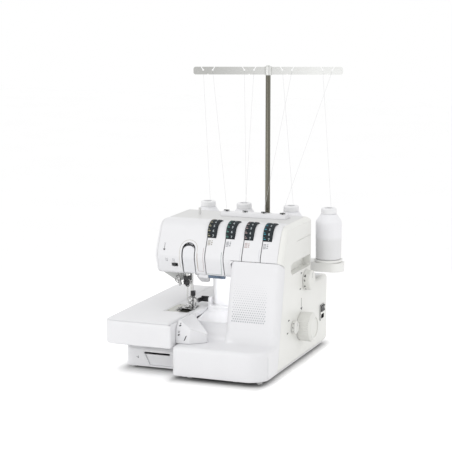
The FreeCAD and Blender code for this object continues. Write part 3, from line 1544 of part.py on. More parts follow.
def thread_guide_rail():
    back = rail_front + rail_depth
    low = head_top + seat
    top = low + rail_height
    rail = prism("yz", [(rail_front, low), (rail_front + 3, top, 2.5),
                        (back - rail_slope, top, rail_slope / 2), (back, low)], rail_left,
                 rail_left + rail_length)
    slots = []
    for i in range(dial_count):
        x = clip_first_x + i * clip_pitch
        slots.append(box(x - clip_width / 2 - seat, x + clip_width / 2 + seat, rail_front + rail_slot,
                         rail_front + rail_slot + clip_depth, top - clip_height, top + sliver))
    return rail.cut(slots)


def guide_clips():
    # Black thread guides with a crossbar over a stem, one in each slot of the rail.
    low = head_top + seat + rail_height - clip_height
    y = rail_front + rail_slot
    solids = []
    for i in range(dial_count):
        x = clip_first_x + i * clip_pitch
        stem = box(x - clip_stem / 2, x + clip_stem / 2, y + seat, y + clip_depth - seat, low + seat,
                   low + 2 * clip_height)
        bar = prism("xz", [(x - clip_width / 2, low + 2 * clip_height, clip_round),
                           (x + clip_width / 2, low + 2 * clip_height, clip_round),
                           (x + clip_width / 2, low + 3 * clip_height, clip_round),
                           (x - clip_width / 2, low + 3 * clip_height, clip_round)],
                    y + seat, y + clip_depth - seat)
        foot = box(x - clip_width / 2, x + clip_width / 2, y + seat, y + clip_depth - seat, low + seat,
                   low + clip_height)
        solids.append(fuse(foot, stem, bar))
    return Part.makeCompound(solids)


def all_nodes():
    shell = head_shell()
    nodes = {
        "base_pan": base_pan(), "rubber_feet": rubber_feet(), "bed_frame": bed_frame(),
             "arm_frame": arm_frame(),
        "shaft_bushes": shaft_bushes(), "head_front_cover": head_front_cover(shell),
             "face_cover": face_cover(shell),
        "top_cover": top_cover(shell), "right_cover": right_cover(), "rear_cover": rear_cover(),
        "column_cover": column_cover(), "cloth_ledge": cloth_ledge(), "free_arm": free_arm(),
        "extension_table": extension_table(), "front_cover": front_cover(), "front_apron": front_apron(),
        "needle_plate": needle_plate(), "front_feed_dog": feed_dog(dog_front_y, dog_front_length),
        "rear_feed_dog": feed_dog(dog_rear_y, dog_rear_length), "lower_knife": lower_knife(),
        "upper_knife": upper_knife(), "needle_bar": needle_bar(), "needle_clamp": needle_clamp(),
        "needles": needles(), "presser_bar": presser_bar(), "presser_foot": presser_foot(),
        "foot_lifter": foot_lifter(), "threader_lever": threader_lever(),
             "needle_switch": needle_switch(),
        "take_up_lever": take_up_lever(), "lamp_lens": lamp_lens(), "tension_shaft": tension_shaft(),
        "main_shaft": main_shaft(), "hand_wheel": hand_wheel(), "shaft_pulleys": shaft_pulleys(),
        "motor": motor(), "motor_pulley": motor_pulley(), "drive_belt": drive_belt(),
             "arm_belt": arm_belt(),
        "upper_shaft": upper_shaft(), "lower_looper": lower_looper(), "upper_looper": upper_looper(),
        "stitch_length_dial": side_dial(length_dial_y, length_dial_z, length_dial_radius,
                                        length_dial_width),
        "differential_dial": side_dial(feed_dial_y, feed_dial_z, feed_dial_radius, feed_dial_width),
        "power_inlet": power_inlet(), "power_switch": power_switch(), "mast_tube": mast_tube(),
        "mast_rod": mast_rod(), "guide_bar": guide_bar(), "spool_stand": spool_stand(),
        "cone_seats": cone_seats(), "cone_cores": cone_cores(), "thread_cones": thread_cones(),
        "thread_guide_rail": thread_guide_rail(), "guide_clips": guide_clips()}
    for i, x in enumerate(dial_xs):
        nodes["tension_dial_%d" % (i + 1)] = tension_dial(x)
    return nodes


os.makedirs("parts", exist_ok=True)
for name, shape in all_nodes().items():
    shape.exportStep("parts/%s.step" % name)
    print(name, "solids", len(shape.Solids), "valid", shape.isValid(), "volume", round(shape.Volume))
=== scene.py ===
import bpy
import math
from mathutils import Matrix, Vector


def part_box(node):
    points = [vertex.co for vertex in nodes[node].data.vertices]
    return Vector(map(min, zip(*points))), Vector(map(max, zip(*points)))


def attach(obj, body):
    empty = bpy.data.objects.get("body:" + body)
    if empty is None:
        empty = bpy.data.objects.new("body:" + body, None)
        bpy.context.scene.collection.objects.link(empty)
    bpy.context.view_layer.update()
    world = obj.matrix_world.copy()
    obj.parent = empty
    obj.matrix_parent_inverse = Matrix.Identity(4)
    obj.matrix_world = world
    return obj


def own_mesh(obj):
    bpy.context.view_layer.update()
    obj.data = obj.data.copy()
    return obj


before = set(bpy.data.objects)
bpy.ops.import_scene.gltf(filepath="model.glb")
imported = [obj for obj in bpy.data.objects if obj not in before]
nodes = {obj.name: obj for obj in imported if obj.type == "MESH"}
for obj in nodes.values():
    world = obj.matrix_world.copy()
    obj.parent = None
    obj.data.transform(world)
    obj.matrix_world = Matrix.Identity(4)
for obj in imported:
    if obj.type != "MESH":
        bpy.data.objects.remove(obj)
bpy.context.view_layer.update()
scene = bpy.context.scene
mm = 0.001
print("frame loaded", len(nodes), "pieces")


# materials

colourMix = {"a": 6, "b": 7, "result": 2}  # socket numbers of a mix node set to colour


def newMaterial(name):
    mat = bpy.data.materials.new(name)
    mat.use_nodes = True
    tree = mat.node_tree
    shader = tree.nodes["Principled BSDF"]
    return mat, tree, shader


def addNoise(tree, scale, detail, stretch=(1, 1, 1)):
    coords = tree.nodes.new("ShaderNodeTexCoord")
    mapping = tree.nodes.new("ShaderNodeMapping")
    mapping.inputs["Scale"].default_value = stretch
    noise = tree.nodes.new("ShaderNodeTexNoise")
    noise.inputs["Scale"].default_value = scale
    noise.inputs["Detail"].default_value = detail
    tree.links.new(coords.outputs["Object"], mapping.inputs["Vector"])
    tree.links.new(mapping.outputs["Vector"], noise.inputs["Vector"])
    return noise


def addRamp(tree, source, low, high, fromPos=0.3, toPos=0.7):
    ramp = tree.nodes.new("ShaderNodeValToRGB")
    ramp.color_ramp.elements[0].position = fromPos
    ramp.color_ramp.elements[1].position = toPos
    ramp.color_ramp.elements[0].color = low
    ramp.color_ramp.elements[1].color = high
    tree.links.new(source, ramp.inputs["Fac"])
    return ramp


def addBump(tree, shader, height, strength, depth):
    bump = tree.nodes.new("ShaderNodeBump")
    bump.inputs["Strength"].default_value = strength
    bump.inputs["Distance"].default_value = depth
    tree.links.new(height, bump.inputs["Height"])
    tree.links.new(bump.outputs["Normal"], shader.inputs["Normal"])
    return bump


def shade(colour, factor):
    return tuple(min(1.0, c * factor) for c in colour) + (1.0,)


def addSweep(tree, source, axis, start, end, low, high):
    # colour times a tone that runs from low to high along one axis, in metres
    coords = tree.nodes.new("ShaderNodeTexCoord")
    apart = tree.nodes.new("ShaderNodeSeparateXYZ")
    tree.links.new(coords.outputs["Object"], apart.inputs["Vector"])
    level = tree.nodes.new("ShaderNodeMapRange")
    level.inputs["From Min"].default_value = start
    level.inputs["From Max"].default_value = end
    tree.links.new(apart.outputs[axis], level.inputs["Value"])
    tone = addRamp(tree, level.outputs["Result"], low, high, 0.0, 1.0)
    tint = tree.nodes.new("ShaderNodeMix")
    tint.data_type = "RGBA"
    tint.blend_type = "MULTIPLY"
    tint.inputs["Factor"].default_value = 1.0
    tree.links.new(source, tint.inputs[colourMix["a"]])
    tree.links.new(tone.outputs["Color"], tint.inputs[colourMix["b"]])
    return tint.outputs[colourMix["result"]]


# what a look has unless it says otherwise; patch and grain are noise scales, round is in mm
plainLook = {"metal": 0.0, "coat": 0.0, "coatRough": 0.15, "gloss": 0.5, "vary": 0.03, "patch": 18.0,
             "patchDetail": 2.0, "grain": 900.0, "grainDetail": 4.0, "stretch": (1, 1, 1), "roughVary": 0.05,
             "leastRough": 0.02, "bump": 0.05, "depth": 0.0001, "round": 0.0, "roundSamples": 8, "sweep": None}


def surface(name, given):
    look = {**plainLook, **given}
    mat, tree, shader = newMaterial(name)
    colour = look["colour"]
    tone = addNoise(tree, look["patch"], look["patchDetail"], look["stretch"])
    ramp = addRamp(tree, tone.outputs["Fac"], shade(colour, 1 - look["vary"]), shade(colour, 1 + look["vary"]))
    tinted = ramp.outputs["Color"]
    if look["sweep"]:
        tinted = addSweep(tree, tinted, *look["sweep"])
    tree.links.new(tinted, shader.inputs["Base Color"])
    wear = tree.nodes.new("ShaderNodeMapRange")
    wear.inputs["To Min"].default_value = max(look["leastRough"], look["rough"] - look["roughVary"])
    wear.inputs["To Max"].default_value = look["rough"] + look["roughVary"]
    tree.links.new(tone.outputs["Fac"], wear.inputs["Value"])
    tree.links.new(wear.outputs["Result"], shader.inputs["Roughness"])
    shader.inputs["Metallic"].default_value = look["metal"]
    shader.inputs["Coat Weight"].default_value = look["coat"]
    shader.inputs["Coat Roughness"].default_value = look["coatRough"]
    shader.inputs["Specular IOR Level"].default_value = look["gloss"]
    grain = addNoise(tree, look["grain"], look["grainDetail"], look["stretch"])
    bump = addBump(tree, shader, grain.outputs["Fac"], look["bump"], look["depth"])
    if look["round"]:
        soft = tree.nodes.new("ShaderNodeBevel")  # softened edges
        soft.samples = look["roundSamples"]
        soft.inputs["Radius"].default_value = look["round"] * mm
        tree.links.new(soft.outputs["Normal"], bump.inputs["Normal"])
    return mat


def ink(name, colour, rough=0.55, vary=0.03):
    return surface(name, {"colour": colour, "rough": rough, "vary": vary})


# white mouldings
shellLook = {"rough": 0.36, "grain": 1400.0, "bump": 0.03, "vary": 0.012, "round": 0.9}
glossLook = {**shellLook, "colour": (0.765, 0.765, 0.78), "rough": 0.34, "coat": 0.15}
mouldLook = {"rough": 0.40, "grain": 1200.0, "bump": 0.04, "vary": 0.015, "round": 0.8}
white = surface("whiteShell", glossLook)
softWhite = surface("softWhite", {**glossLook, "round": 2.0})
whiteBase = surface("whiteBase", {**mouldLook, "colour": (0.745, 0.745, 0.76)})
# darker copy of the shell white for the top cover: painted shade on the top
shadedTopWhite = surface("shadedTopWhite", {**shellLook, "colour": (0.66, 0.66, 0.655)})
# lighter, warmer copy of the shell white for the right side: painted light
warmLitSideWhite = surface("warmLitSideWhite", {**shellLook, "colour": (0.785, 0.785, 0.757), "coat": 0.1})
knobWhite = surface("knobWhite", {**mouldLook, "colour": (0.75, 0.75, 0.72), "round": 0.6})
standWhite = surface("standWhite", {**mouldLook, "colour": (0.84, 0.84, 0.82), "rough": 0.42})
# lighter copy of the shell white for the riser, column and joint strip, which sit in shade: painted light
litCopyWhite = surface("litCopyWhite", {**shellLook, "colour": (0.86, 0.86, 0.875), "rough": 0.38})
leverWhite = surface("leverWhite", {"colour": (0.76, 0.765, 0.785), "rough": 0.30, "vary": 0.01, "round": 0.8})
coreWhite = surface("coreWhite", {"colour": (0.82, 0.82, 0.83), "rough": 0.35, "vary": 0.01, "round": 0.6})

# rubber, plastic and thread
paleRubber = surface("paleRubber", {"colour": (0.84, 0.84, 0.84), "rough": 0.7, "grain": 600.0, "bump": 0.15})
blackRubber = surface("blackRubber", {"colour": (0.02, 0.02, 0.02), "rough": 0.7, "grain": 500.0, "bump": 0.2})
blackPlastic = surface("blackPlastic", {"colour": (0.016, 0.016, 0.018), "rough": 0.42, "vary": 0.15,
                                        "grain": 1000.0, "bump": 0.08, "round": 0.3})
dialDark = surface("dialDark", {"colour": (0.014, 0.020, 0.024), "rough": 0.45, "gloss": 0.25, "vary": 0.2,
                                "patch": 60.0, "bump": 0.06, "round": 0.2})
midGrey = surface("midGrey", {"colour": (0.28, 0.28, 0.29), "rough": 0.5, "vary": 0.05})
lampBlue = surface("lampBlue", {"colour": (0.11, 0.155, 0.22), "rough": 0.30, "vary": 0.3, "patch": 120.0,
                                "coat": 0.2})
lineThread = surface("lineThread", {"colour": (0.58, 0.58, 0.59), "rough": 0.8, "grain": 3000.0, "bump": 0.3})

# metal
castGrey = surface("castGrey", {"colour": (0.55, 0.56, 0.55), "rough": 0.5, "metal": 0.2, "grain": 420.0,
                                "bump": 0.35, "depth": 0.0002, "vary": 0.08})
motorGrey = surface("motorGrey", {"colour": (0.25, 0.26, 0.28), "rough": 0.45, "metal": 0.4, "vary": 0.06})
bronze = surface("bronze", {"colour": (0.62, 0.42, 0.18), "rough": 0.35, "metal": 1.0, "vary": 0.06})
steel = surface("brightSteel", {"colour": (0.62, 0.62, 0.61), "rough": 0.22, "metal": 1.0, "vary": 0.05,
                                "grain": 700.0, "stretch": (1, 1, 0.05), "bump": 0.06, "round": 0.3})
# dark steel with strong speckle for the foot and threader: painted reflections, dark with bright glints
speckledReflectSteel = surface("speckledReflectSteel", {"colour": (0.34, 0.34, 0.34), "rough": 0.24, "metal": 1.0, "vary": 0.85,
                                  "patch": 260.0, "grain": 700.0, "bump": 0.2, "round": 0.4})
plateSteel = surface("plateSteel", {"colour": (0.50, 0.50, 0.46), "rough": 0.36, "metal": 1.0, "vary": 0.06,
                                    "grain": 500.0, "stretch": (1, 0.03, 1), "bump": 0.15, "round": 0.3})
# steel colour of the mast darkened to stand for the dark surroundings it reflects: painted reflection
darkReflectSteel = surface("darkReflectSteel", {"colour": (0.155, 0.149, 0.122), "rough": 0.20, "metal": 1.0, "vary": 0.04,
                                  "stretch": (1, 1, 0.04)})
sheetSteel = surface("sheetSteel", {"colour": (0.83, 0.835, 0.82), "rough": 0.34, "metal": 0.9, "vary": 0.05,
                                    "grain": 600.0, "stretch": (0.05, 0.05, 1), "bump": 0.06,
                                    "sweep": ("X", -0.10, 0.13, (0.56, 0.56, 0.55, 1), (1, 1, 1, 1))})
blackMetal = surface("blackMetal", {"colour": (0.018, 0.018, 0.02), "rough": 0.3, "metal": 0.2, "vary": 0.15,
                                    "grain": 600.0, "bump": 0.1, "round": 0.3})

# printing inks; the dark one also paints shade in the screw slots and at the take-up slot
inkGrey = ink("inkGrey", (0.24, 0.25, 0.27), vary=0.04)
inkPale = ink("inkPale", (0.52, 0.54, 0.57), vary=0.04)
darkInkAndShade = ink("darkInkAndShade", (0.03, 0.03, 0.035), rough=0.5, vary=0.1)
inkDot = surface("inkDot", {"colour": (0.47, 0.48, 0.50), "rough": 0.5, "vary": 0.05, "patch": 40.0})
inkWhite = ink("inkWhite", (0.50, 0.55, 0.57), rough=0.5)
inkGreen = ink("inkGreen", (0.22, 0.34, 0.30))
inkRose = ink("inkRose", (0.42, 0.32, 0.31))
inkRim = ink("inkRim", (0.56, 0.55, 0.47))
inkSand = ink("inkSand", (0.34, 0.32, 0.27))

windings = {"tilts": (1.5, -1.5), "scale": 260.0, "distortion": 1.2, "detail": 2.0, "rough": 0.75, "sheen": 0.25,
            "low": (0.80, 0.80, 0.81, 1), "high": (0.90, 0.90, 0.905, 1), "rampFrom": 0.1, "rampTo": 0.9,
            "sweep": ("Z", 0.250, 0.258, (0.90, 0.90, 0.90, 1), (0.985, 0.985, 1.0, 1)),
            "bump": 0.25, "depth": 0.0003}


def woundThread():
    # fine crossing windings as bump and tone, with a painted shade darkening the cones below about 250 mm
    mat, tree, shader = newMaterial("woundThread")
    coords = tree.nodes.new("ShaderNodeTexCoord")
    waves = []
    for tilt in windings["tilts"]:
        mapping = tree.nodes.new("ShaderNodeMapping")
        mapping.inputs["Rotation"].default_value = (0, math.radians(tilt), 0)
        wave = tree.nodes.new("ShaderNodeTexWave")
        wave.bands_direction = "Z"
        wave.inputs["Scale"].default_value = windings["scale"]
        wave.inputs["Distortion"].default_value = windings["distortion"]
        wave.inputs["Detail"].default_value = windings["detail"]
        tree.links.new(coords.outputs["Object"], mapping.inputs["Vector"])
        tree.links.new(mapping.outputs["Vector"], wave.inputs["Vector"])
        waves.append(wave)
    blend = tree.nodes.new("ShaderNodeMix")
    blend.data_type = "FLOAT"
    blend.inputs["Factor"].default_value = 0.5
    tree.links.new(waves[0].outputs["Fac"], blend.inputs["A"])
    tree.links.new(waves[1].outputs["Fac"], blend.inputs["B"])
    ramp = addRamp(tree, blend.outputs["Result"], windings["low"], windings["high"], windings["rampFrom"],
                   windings["rampTo"])
    # painted shade: the cone is darker below about 250 mm
    tint = addSweep(tree, ramp.outputs["Color"], *windings["sweep"])
    tree.links.new(tint, shader.inputs["Base Color"])
    addBump(tree, shader, blend.outputs["Result"], windings["bump"], windings["depth"])
    shader.inputs["Roughness"].default_value = windings["rough"]
    shader.inputs["Sheen Weight"].default_value = windings["sheen"]
    return mat


# pieces that aren't listed are white shells
looks = {
    "extension_table": softWhite, "front_cover": softWhite, "front_apron": softWhite, "top_cover": shadedTopWhite,
    "base_pan": litCopyWhite, "column_cover": litCopyWhite, "right_cover": warmLitSideWhite, "rubber_feet": paleRubber,
    "bed_frame": castGrey, "arm_frame": castGrey, "shaft_bushes": bronze, "needle_plate": plateSteel,
    "front_feed_dog": steel, "rear_feed_dog": steel, "lower_knife": steel, "upper_knife": blackMetal,
    "needle_bar": steel, "needle_clamp": blackMetal, "needles": steel, "presser_bar": steel,
    "presser_foot": speckledReflectSteel, "foot_lifter": whiteBase, "threader_lever": speckledReflectSteel,
    "needle_switch": blackPlastic, "take_up_lever": leverWhite, "lamp_lens": lampBlue, "tension_shaft": steel,
    "main_shaft": steel, "hand_wheel": knobWhite, "shaft_pulleys": midGrey, "motor": motorGrey,
    "motor_pulley": midGrey, "drive_belt": blackRubber, "arm_belt": blackRubber, "upper_shaft": steel,
    "lower_looper": steel, "upper_looper": steel, "stitch_length_dial": knobWhite,
    "differential_dial": knobWhite, "power_inlet": blackPlastic, "power_switch": blackPlastic,
    "mast_tube": darkReflectSteel, "mast_rod": darkReflectSteel, "guide_bar": sheetSteel, "spool_stand": standWhite,
    "cone_seats": standWhite, "cone_cores": coreWhite, "thread_cones": woundThread(),
    "guide_clips": blackPlastic}
for name, obj in nodes.items():
    mat = looks.get(name, dialDark if name.startswith("tension_dial") else white)
    obj.data.materials.clear()
    obj.data.materials.append(mat)
    for face in obj.data.polygons:
        face.material_index = 0


def faceLook(name, mat, chosen):
    # second material on the faces that the test picks
    mesh = nodes[name].data
    mesh.materials.append(mat)
    for face in mesh.polygons:
        if chosen(face.center / mm):
            face.material_index = len(mesh.materials) - 1


lookEdge = {"clampX": -68.7, "inletX": 153.2, "knifeY": -45.0}
faceLook("needle_clamp", steel, lambda c: c.x > lookEdge["clampX"])
faceLook("power_inlet", warmLitSideWhite, lambda c: c.x > lookEdge["inletX"])
faceLook("upper_knife", steel, lambda c: c.y < lookEdge["knifeY"])
print("materials set")


# shapes for small pieces

toRight = Vector((1, 0, 0))


def addMesh(name, verts, faces, mat, body):
    mesh = bpy.data.meshes.new(name)
    mesh.from_pydata([tuple(v) for v in verts], [], faces)
    mesh.update()
    obj = bpy.data.objects.new(name, mesh)
    scene.collection.objects.link(obj)
    mesh.materials.append(mat)
    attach(obj, body)
    return obj


def tubeFaces(rings, sides):
    # faces between rings of points
    faces = []
    for i in range(rings - 1):
        for k in range(sides):
            a = i * sides + k
            b = i * sides + (k + 1) % sides
            faces.append((a, b, b + sides, a + sides))
    return faces


def strand(points, radius, sides=6):
    # verts and faces of a thin round line through the points
    skew = Vector((0.31, 0.77, 0.55))  # along none of the lines
    verts = []
    last = len(points) - 1
    for i, p in enumerate(points):
        ahead = points[min(i + 1, last)] - points[max(i - 1, 0)]
        ahead.normalize()
        across = ahead.cross(skew)
        across.normalize()
        up = ahead.cross(across)
        for k in range(sides):
            turn = 2 * math.pi * k / sides
            verts.append(p + across * (radius * math.cos(turn)) + up * (radius * math.sin(turn)))
    faces = tubeFaces(len(points), sides)
    faces.append(tuple(range(sides)))
    faces.append(tuple(reversed(range(last * sides, len(points) * sides))))
    return verts, faces


def joined(parts):
    verts = []
    faces = []
    for v, f in parts:
        start = len(verts)
        verts += v
        faces += [tuple(i + start for i in face) for face in f]
    return verts, faces


def patch(origin, right, up, corners, lift=0.00012):
    # flat polygon lying on a plane, a hair above it
    out = right.cross(up).normalized() * lift
    return [origin + right * a + up * b + out for a, b in corners], [tuple(range(len(corners)))]


def disc(a, b, r, sides=10):
    return [(a + r * math.cos(2 * math.pi * k / sides), b + r * math.sin(2 * math.pi * k / sides))
            for k in range(sides)]


def bar(a0, b0, a1, b1):
    return [(a0, b0), (a1, b0), (a1, b1), (a0, b1)]


def line(a0, b0, a1, b1, width):
    along = Vector((a1 - a0, b1 - b0))
    side = Vector((-along.y, along.x)).normalized() * width / 2
    return [(a0 - side.x, b0 - side.y), (a1 - side.x, b1 - side.y),
            (a1 + side.x, b1 + side.y), (a0 + side.x, b0 + side.y)]


def numeral(text, size, bold):
    # flat outline of a numeral, centred, as verts and faces in 2D
    curve = bpy.data.curves.new("numeral", "FONT")
    curve.body = text
    curve.size = size
    curve.align_x = "CENTER"
    curve.align_y = "CENTER"
    curve.resolution_u = 2
    curve.offset = bold
    obj = bpy.data.objects.new("numeral", curve)
    scene.collection.objects.link(obj)
    bpy.context.view_layer.update()
    mesh = bpy.data.meshes.new_from_object(obj.evaluated_get(bpy.context.evaluated_depsgraph_get()))
    verts = [(v.co.x, v.co.y) for v in mesh.vertices]
    faces = [tuple(p.vertices) for p in mesh.polygons]
    bpy.data.objects.remove(obj)
    bpy.data.curves.remove(curve)
    bpy.data.meshes.remove(mesh)
    return verts, faces


# numbers and ticks round the tension dials
dialMarks = {"y": -44.5, "z": 284.0, "radius": 29.55, "size": 7.0, "bold": 0.15, "aside": 3.4, "count": 10,
             "ticks": 17, "step": 21, "first": 28, "before": 4,
             "bars": ((-8.6, -1.0, -3.4, 1.0), (-8.6, 3.2, -5.6, 4.2))}
tickColours = {"tickSand": (0.32, 0.30, 0.20), "tickGreen": (0.09, 0.25, 0.21), "tickRose": (0.34, 0.26, 0.26),
               "tickBlue": (0.03, 0.24, 0.32)}
tickInks = [ink(name, colour, rough=0.5, vary=0.05) for name, colour in tickColours.items()]


def onRim(spot, up, corners, aside=0.0):
    return [spot + Vector((a + aside, 0, 0)) * mm + up * b * mm for a, b in corners]


for i in range(4):
    low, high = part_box("tension_dial_%d" % (i + 1))
    axle = Vector(((low[0] + high[0]) / 2, dialMarks["y"] * mm, dialMarks["z"] * mm))
    figures = []
    ticks = []
    for n in range(dialMarks["ticks"]):
        turn = math.radians(90 + dialMarks["first"] + (n - dialMarks["before"]) * dialMarks["step"])
        spot = axle + Vector((0, math.cos(turn), math.sin(turn))) * dialMarks["radius"] * mm
        up = Vector((0, math.sin(turn), -math.cos(turn)))
        if n < dialMarks["count"]:
            verts, faces = numeral(str(n), dialMarks["size"], dialMarks["bold"])
            figures.append((onRim(spot, up, verts, dialMarks["aside"]), faces))
        for sides in dialMarks["bars"]:
            ticks.append((onRim(spot, up, bar(*sides)), [(0, 1, 2, 3)]))
    verts, faces = joined(figures)
    addMesh("dial_numbers_%d" % (i + 1), verts, faces, inkWhite, "dial_%d" % (i + 1))
    verts, faces = joined(ticks)
    addMesh("dial_ticks_%d" % (i + 1), verts, faces, tickInks[i], "dial_%d" % (i + 1))
print("dial numbers made")


# halftone rows on the looper cover; foot and top are (y, z) of the panel's ends
halftone = {"foot": (-125.6, 71.0), "top": (-91.0, 236.0), "left": 48.0, "lowZ": 113.0, "pitch": 5.0,
            "columns": 15, "rows": 17, "stagger": 0.5, "rowPitch": 0.95, "size": 1.75, "shrink": 0.05}
panelRun = halftone["top"][0] - halftone["foot"][0]
panelRise = halftone["top"][1] - halftone["foot"][1]
slope = Vector((0, panelRun, panelRise)).normalized()


def panelPoint(x, z):
    t = (z - halftone["foot"][1]) / panelRise
    return Vector((x, halftone["foot"][0] + t * panelRun, z)) * mm


parts = []
for row in range(halftone["rows"]):
    radius = halftone["size"] * (1 - halftone["shrink"] * row)
    z = halftone["lowZ"] + row * halftone["pitch"] * halftone["rowPitch"]
    for column in range(halftone["columns"]):
        x = halftone["left"] + (column + halftone["stagger"] * (row % 2)) * halftone["pitch"]
        parts.append(patch(panelPoint(x, z), toRight, slope, disc(0, 0, radius * mm)))
verts, faces = joined(parts)
addMesh("panel_dots", verts, faces, inkDot, "looper_cover")

# cap behind the cover's upper left corner
capLook = {"x": 32.3, "z": 235.6, "size": 9.0, "inset": -0.0009}
corners = [(0, 0), (0, -capLook["size"] * mm), (capLook["size"] * mm, 0)]
verts, faces = patch(panelPoint(capLook["x"], capLook["z"]), toRight, slope, corners, capLook["inset"])
addMesh("corner_cap", verts, faces, white, "looper_cover")

# strip set back in the open joint between column and rear cover
stripLook = {"x": -39.6, "y": (93.8, 97.6), "z": (117.4, 197.6)}
verts = [Vector((stripLook["x"], stripLook["y"][i], stripLook["z"][k])) * mm
         for i, k in ((0, 0), (0, 1), (1, 1), (1, 0))]
addMesh("joint_strip", verts, [(0, 1, 2, 3)], litCopyWhite, "machine")
print("panel pattern made")


# threads from cones over the bar to the clips; stations and cones are measured from the mast
threadPath = {"radius": 0.22, "barZ": 612.0, "overBar": 6.5, "mast": (28.0, 155.0), "turn": 20.0,
              "stations": (-133.0, -42.0, 42.0, 131.0), "hook": 10.5, "cones": (-143.0, -56.0, 56.0, 144.0),
              "coneAside": 6.0, "coneY": 152.0, "coneTop": 320.5, "clipX": -25.0, "clipPitch": 43.0,
              "clipY": 40.0, "clipZ": 322.5}
turn = math.radians(threadPath["turn"])


def hookPoint(station, side):
    along = station + side * threadPath["hook"]
    mastX, mastY = threadPath["mast"]
    return Vector((mastX + along * math.cos(turn), mastY + along * math.sin(turn),
                   threadPath["barZ"] + threadPath["overBar"])) * mm


parts = []
for i, station in enumerate(threadPath["stations"]):
    coneX = threadPath["mast"][0] + threadPath["cones"][i]
    top = Vector((coneX + threadPath["coneAside"], threadPath["coneY"], threadPath["coneTop"])) * mm
    clipX = threadPath["clipX"] + i * threadPath["clipPitch"]
    clip = Vector((clipX, threadPath["clipY"], threadPath["clipZ"])) * mm
    stops = [top, hookPoint(station, -1), hookPoint(station, 1), clip]
    for start, end in zip(stops, stops[1:]):
        parts.append(strand([start, end], threadPath["radius"] * mm))
verts, faces = joined(parts)
threads = addMesh("mast_threads", verts, faces, lineThread, "machine")
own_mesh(threads)
print("threads made")


# printed marks and a painted shade, laid on the covers by a ray from outside
printing = {"lift": 0.00015, "frontY": -260, "sideX": 200}


def onNode(node, start, aim):
    hit, place, normal, face = nodes[node].ray_cast(Vector(start) * mm, Vector(aim))
    return (place, normal) if hit else (None, None)


def decal(node, body, name, mat, pieces, start, aim, right, up):
    # flat 2D pieces (corners in mm about the hit point) printed where the ray meets the node
    place, normal = onNode(node, start, aim)
    if place is None:
        print("no surface for", name)
        return
    right = (Vector(right) - normal * Vector(right).dot(normal)).normalized()
    up = (Vector(up) - normal * Vector(up).dot(normal)).normalized()
    parts = []
    for corners in pieces:
        if isinstance(corners, tuple):
            verts, faces = corners
        else:
            verts, faces = corners, [tuple(range(len(corners)))]
        parts.append(([place + normal * printing["lift"] + (right * a + up * b) * mm for a, b in verts], faces))
    verts, faces = joined(parts)
    addMesh(name, verts, faces, mat, body)


def frontDecal(node, body, name, mat, pieces, x, z):
    decal(node, body, name, mat, pieces, (x, printing["frontY"], z), (0, 1, 0), (1, 0, 0), (0, 0, 1))


def sideDecal(node, body, name, mat, pieces, y, z):
    decal(node, body, name, mat, pieces, (printing["sideX"], y, z), (-1, 0, 0), (0, 1, 0), (0, 0, 1))


def trail(node, body, name, mat, spots, width):
    # thin printed line through (x, z) spots on the machine's front
    stops = []
    for x, z in spots:
        place, normal = onNode(node, (x, printing["frontY"], z), (0, 1, 0))
        if place is not None:
            stops.append((place + normal * printing["lift"], normal))
    if len(stops) < 2:
        print("no line for", name)
        return
    points = []
    last = len(stops) - 1
    for i, (p, normal) in enumerate(stops):
        ahead = stops[min(i + 1, last)][0] - stops[max(i - 1, 0)][0]
        side = ahead.cross(normal).normalized() * width * mm / 2
        points += [p - side, p + side]
    faces = [(2 * i, 2 * i + 1, 2 * i + 3, 2 * i + 2) for i in range(last)]
    addMesh(name, points, faces, mat, body)


def steps(a, b, count):
    return [(a[0] + (b[0] - a[0]) * i / count, a[1] + (b[1] - a[1]) * i / count) for i in range(count + 1)]


# signs below the tension dials
dialSign = {"x": -17.0, "pitch": 41.8, "z": 268.5, "tints": (inkSand, inkGrey, inkRose, inkGrey),
            "rows": (-4.6, -1.6, 1.4, 4.2), "left": -5.2, "right": 1.2, "rise": 1.0, "width": 1.5,
            "dots": [disc(4.0, -2.8, 1.5), disc(4.4, 1.4, 1.5), line(3.2, 4.2, 5.4, 6.0, 1.3)]}
marks = [line(dialSign["left"], b, dialSign["right"], b + dialSign["rise"], dialSign["width"])
         for b in dialSign["rows"]]
for i, tint in enumerate(dialSign["tints"]):
    frontDecal("head_front_cover", "machine", "dial_sign_%d" % (i + 1), tint, marks + dialSign["dots"],
               dialSign["x"] + i * dialSign["pitch"], dialSign["z"])

# signs for threader and needles: ink, x, z and form
needlePair = [line(-1.5, -1, -1.5, 4, 0.7), line(1.5, -1, 1.5, 4, 0.7), disc(-1.5, -2.2, 0.9),
              disc(1.5, -2.2, 0.9)]
headSigns = {
    "threader_sign": (darkInkAndShade, -119, 252, [line(0, -1, 0, 9, 0.9), [(-3.2, -1), (0, -5.0), (3.2, -1)],
                                           line(-2.2, 11, 2.2, 11, 0.7)]),
    "needle_sign": (inkGrey, -97, 228, needlePair),
    "needle_sign_b": (inkGrey, -113, 228, needlePair)}
for name, (mat, x, z, form) in headSigns.items():
    frontDecal("head_front_cover", "machine", name, mat, form, x, z)

# outline of the take-up slot
slotRim = {"x": -63.0, "half": 20.0, "top": 254.0, "rise": 18.0, "low": 212.0, "parts": 16, "legSteps": 12,
           "width": 0.9}
arch = []
for k in range(slotRim["parts"] + 1):
    lean = math.pi * k / slotRim["parts"]
    arch.append((slotRim["x"] - slotRim["half"] * math.cos(lean), slotRim["top"] + slotRim["rise"] * math.sin(lean)))
leftLeg = steps((arch[0][0], slotRim["low"]), arch[0], slotRim["legSteps"])
rightLeg = steps(arch[-1], (arch[-1][0], slotRim["low"]), slotRim["legSteps"])
trail("head_front_cover", "machine", "slot_line", inkRim, leftLeg + arch + rightLeg, slotRim["width"])

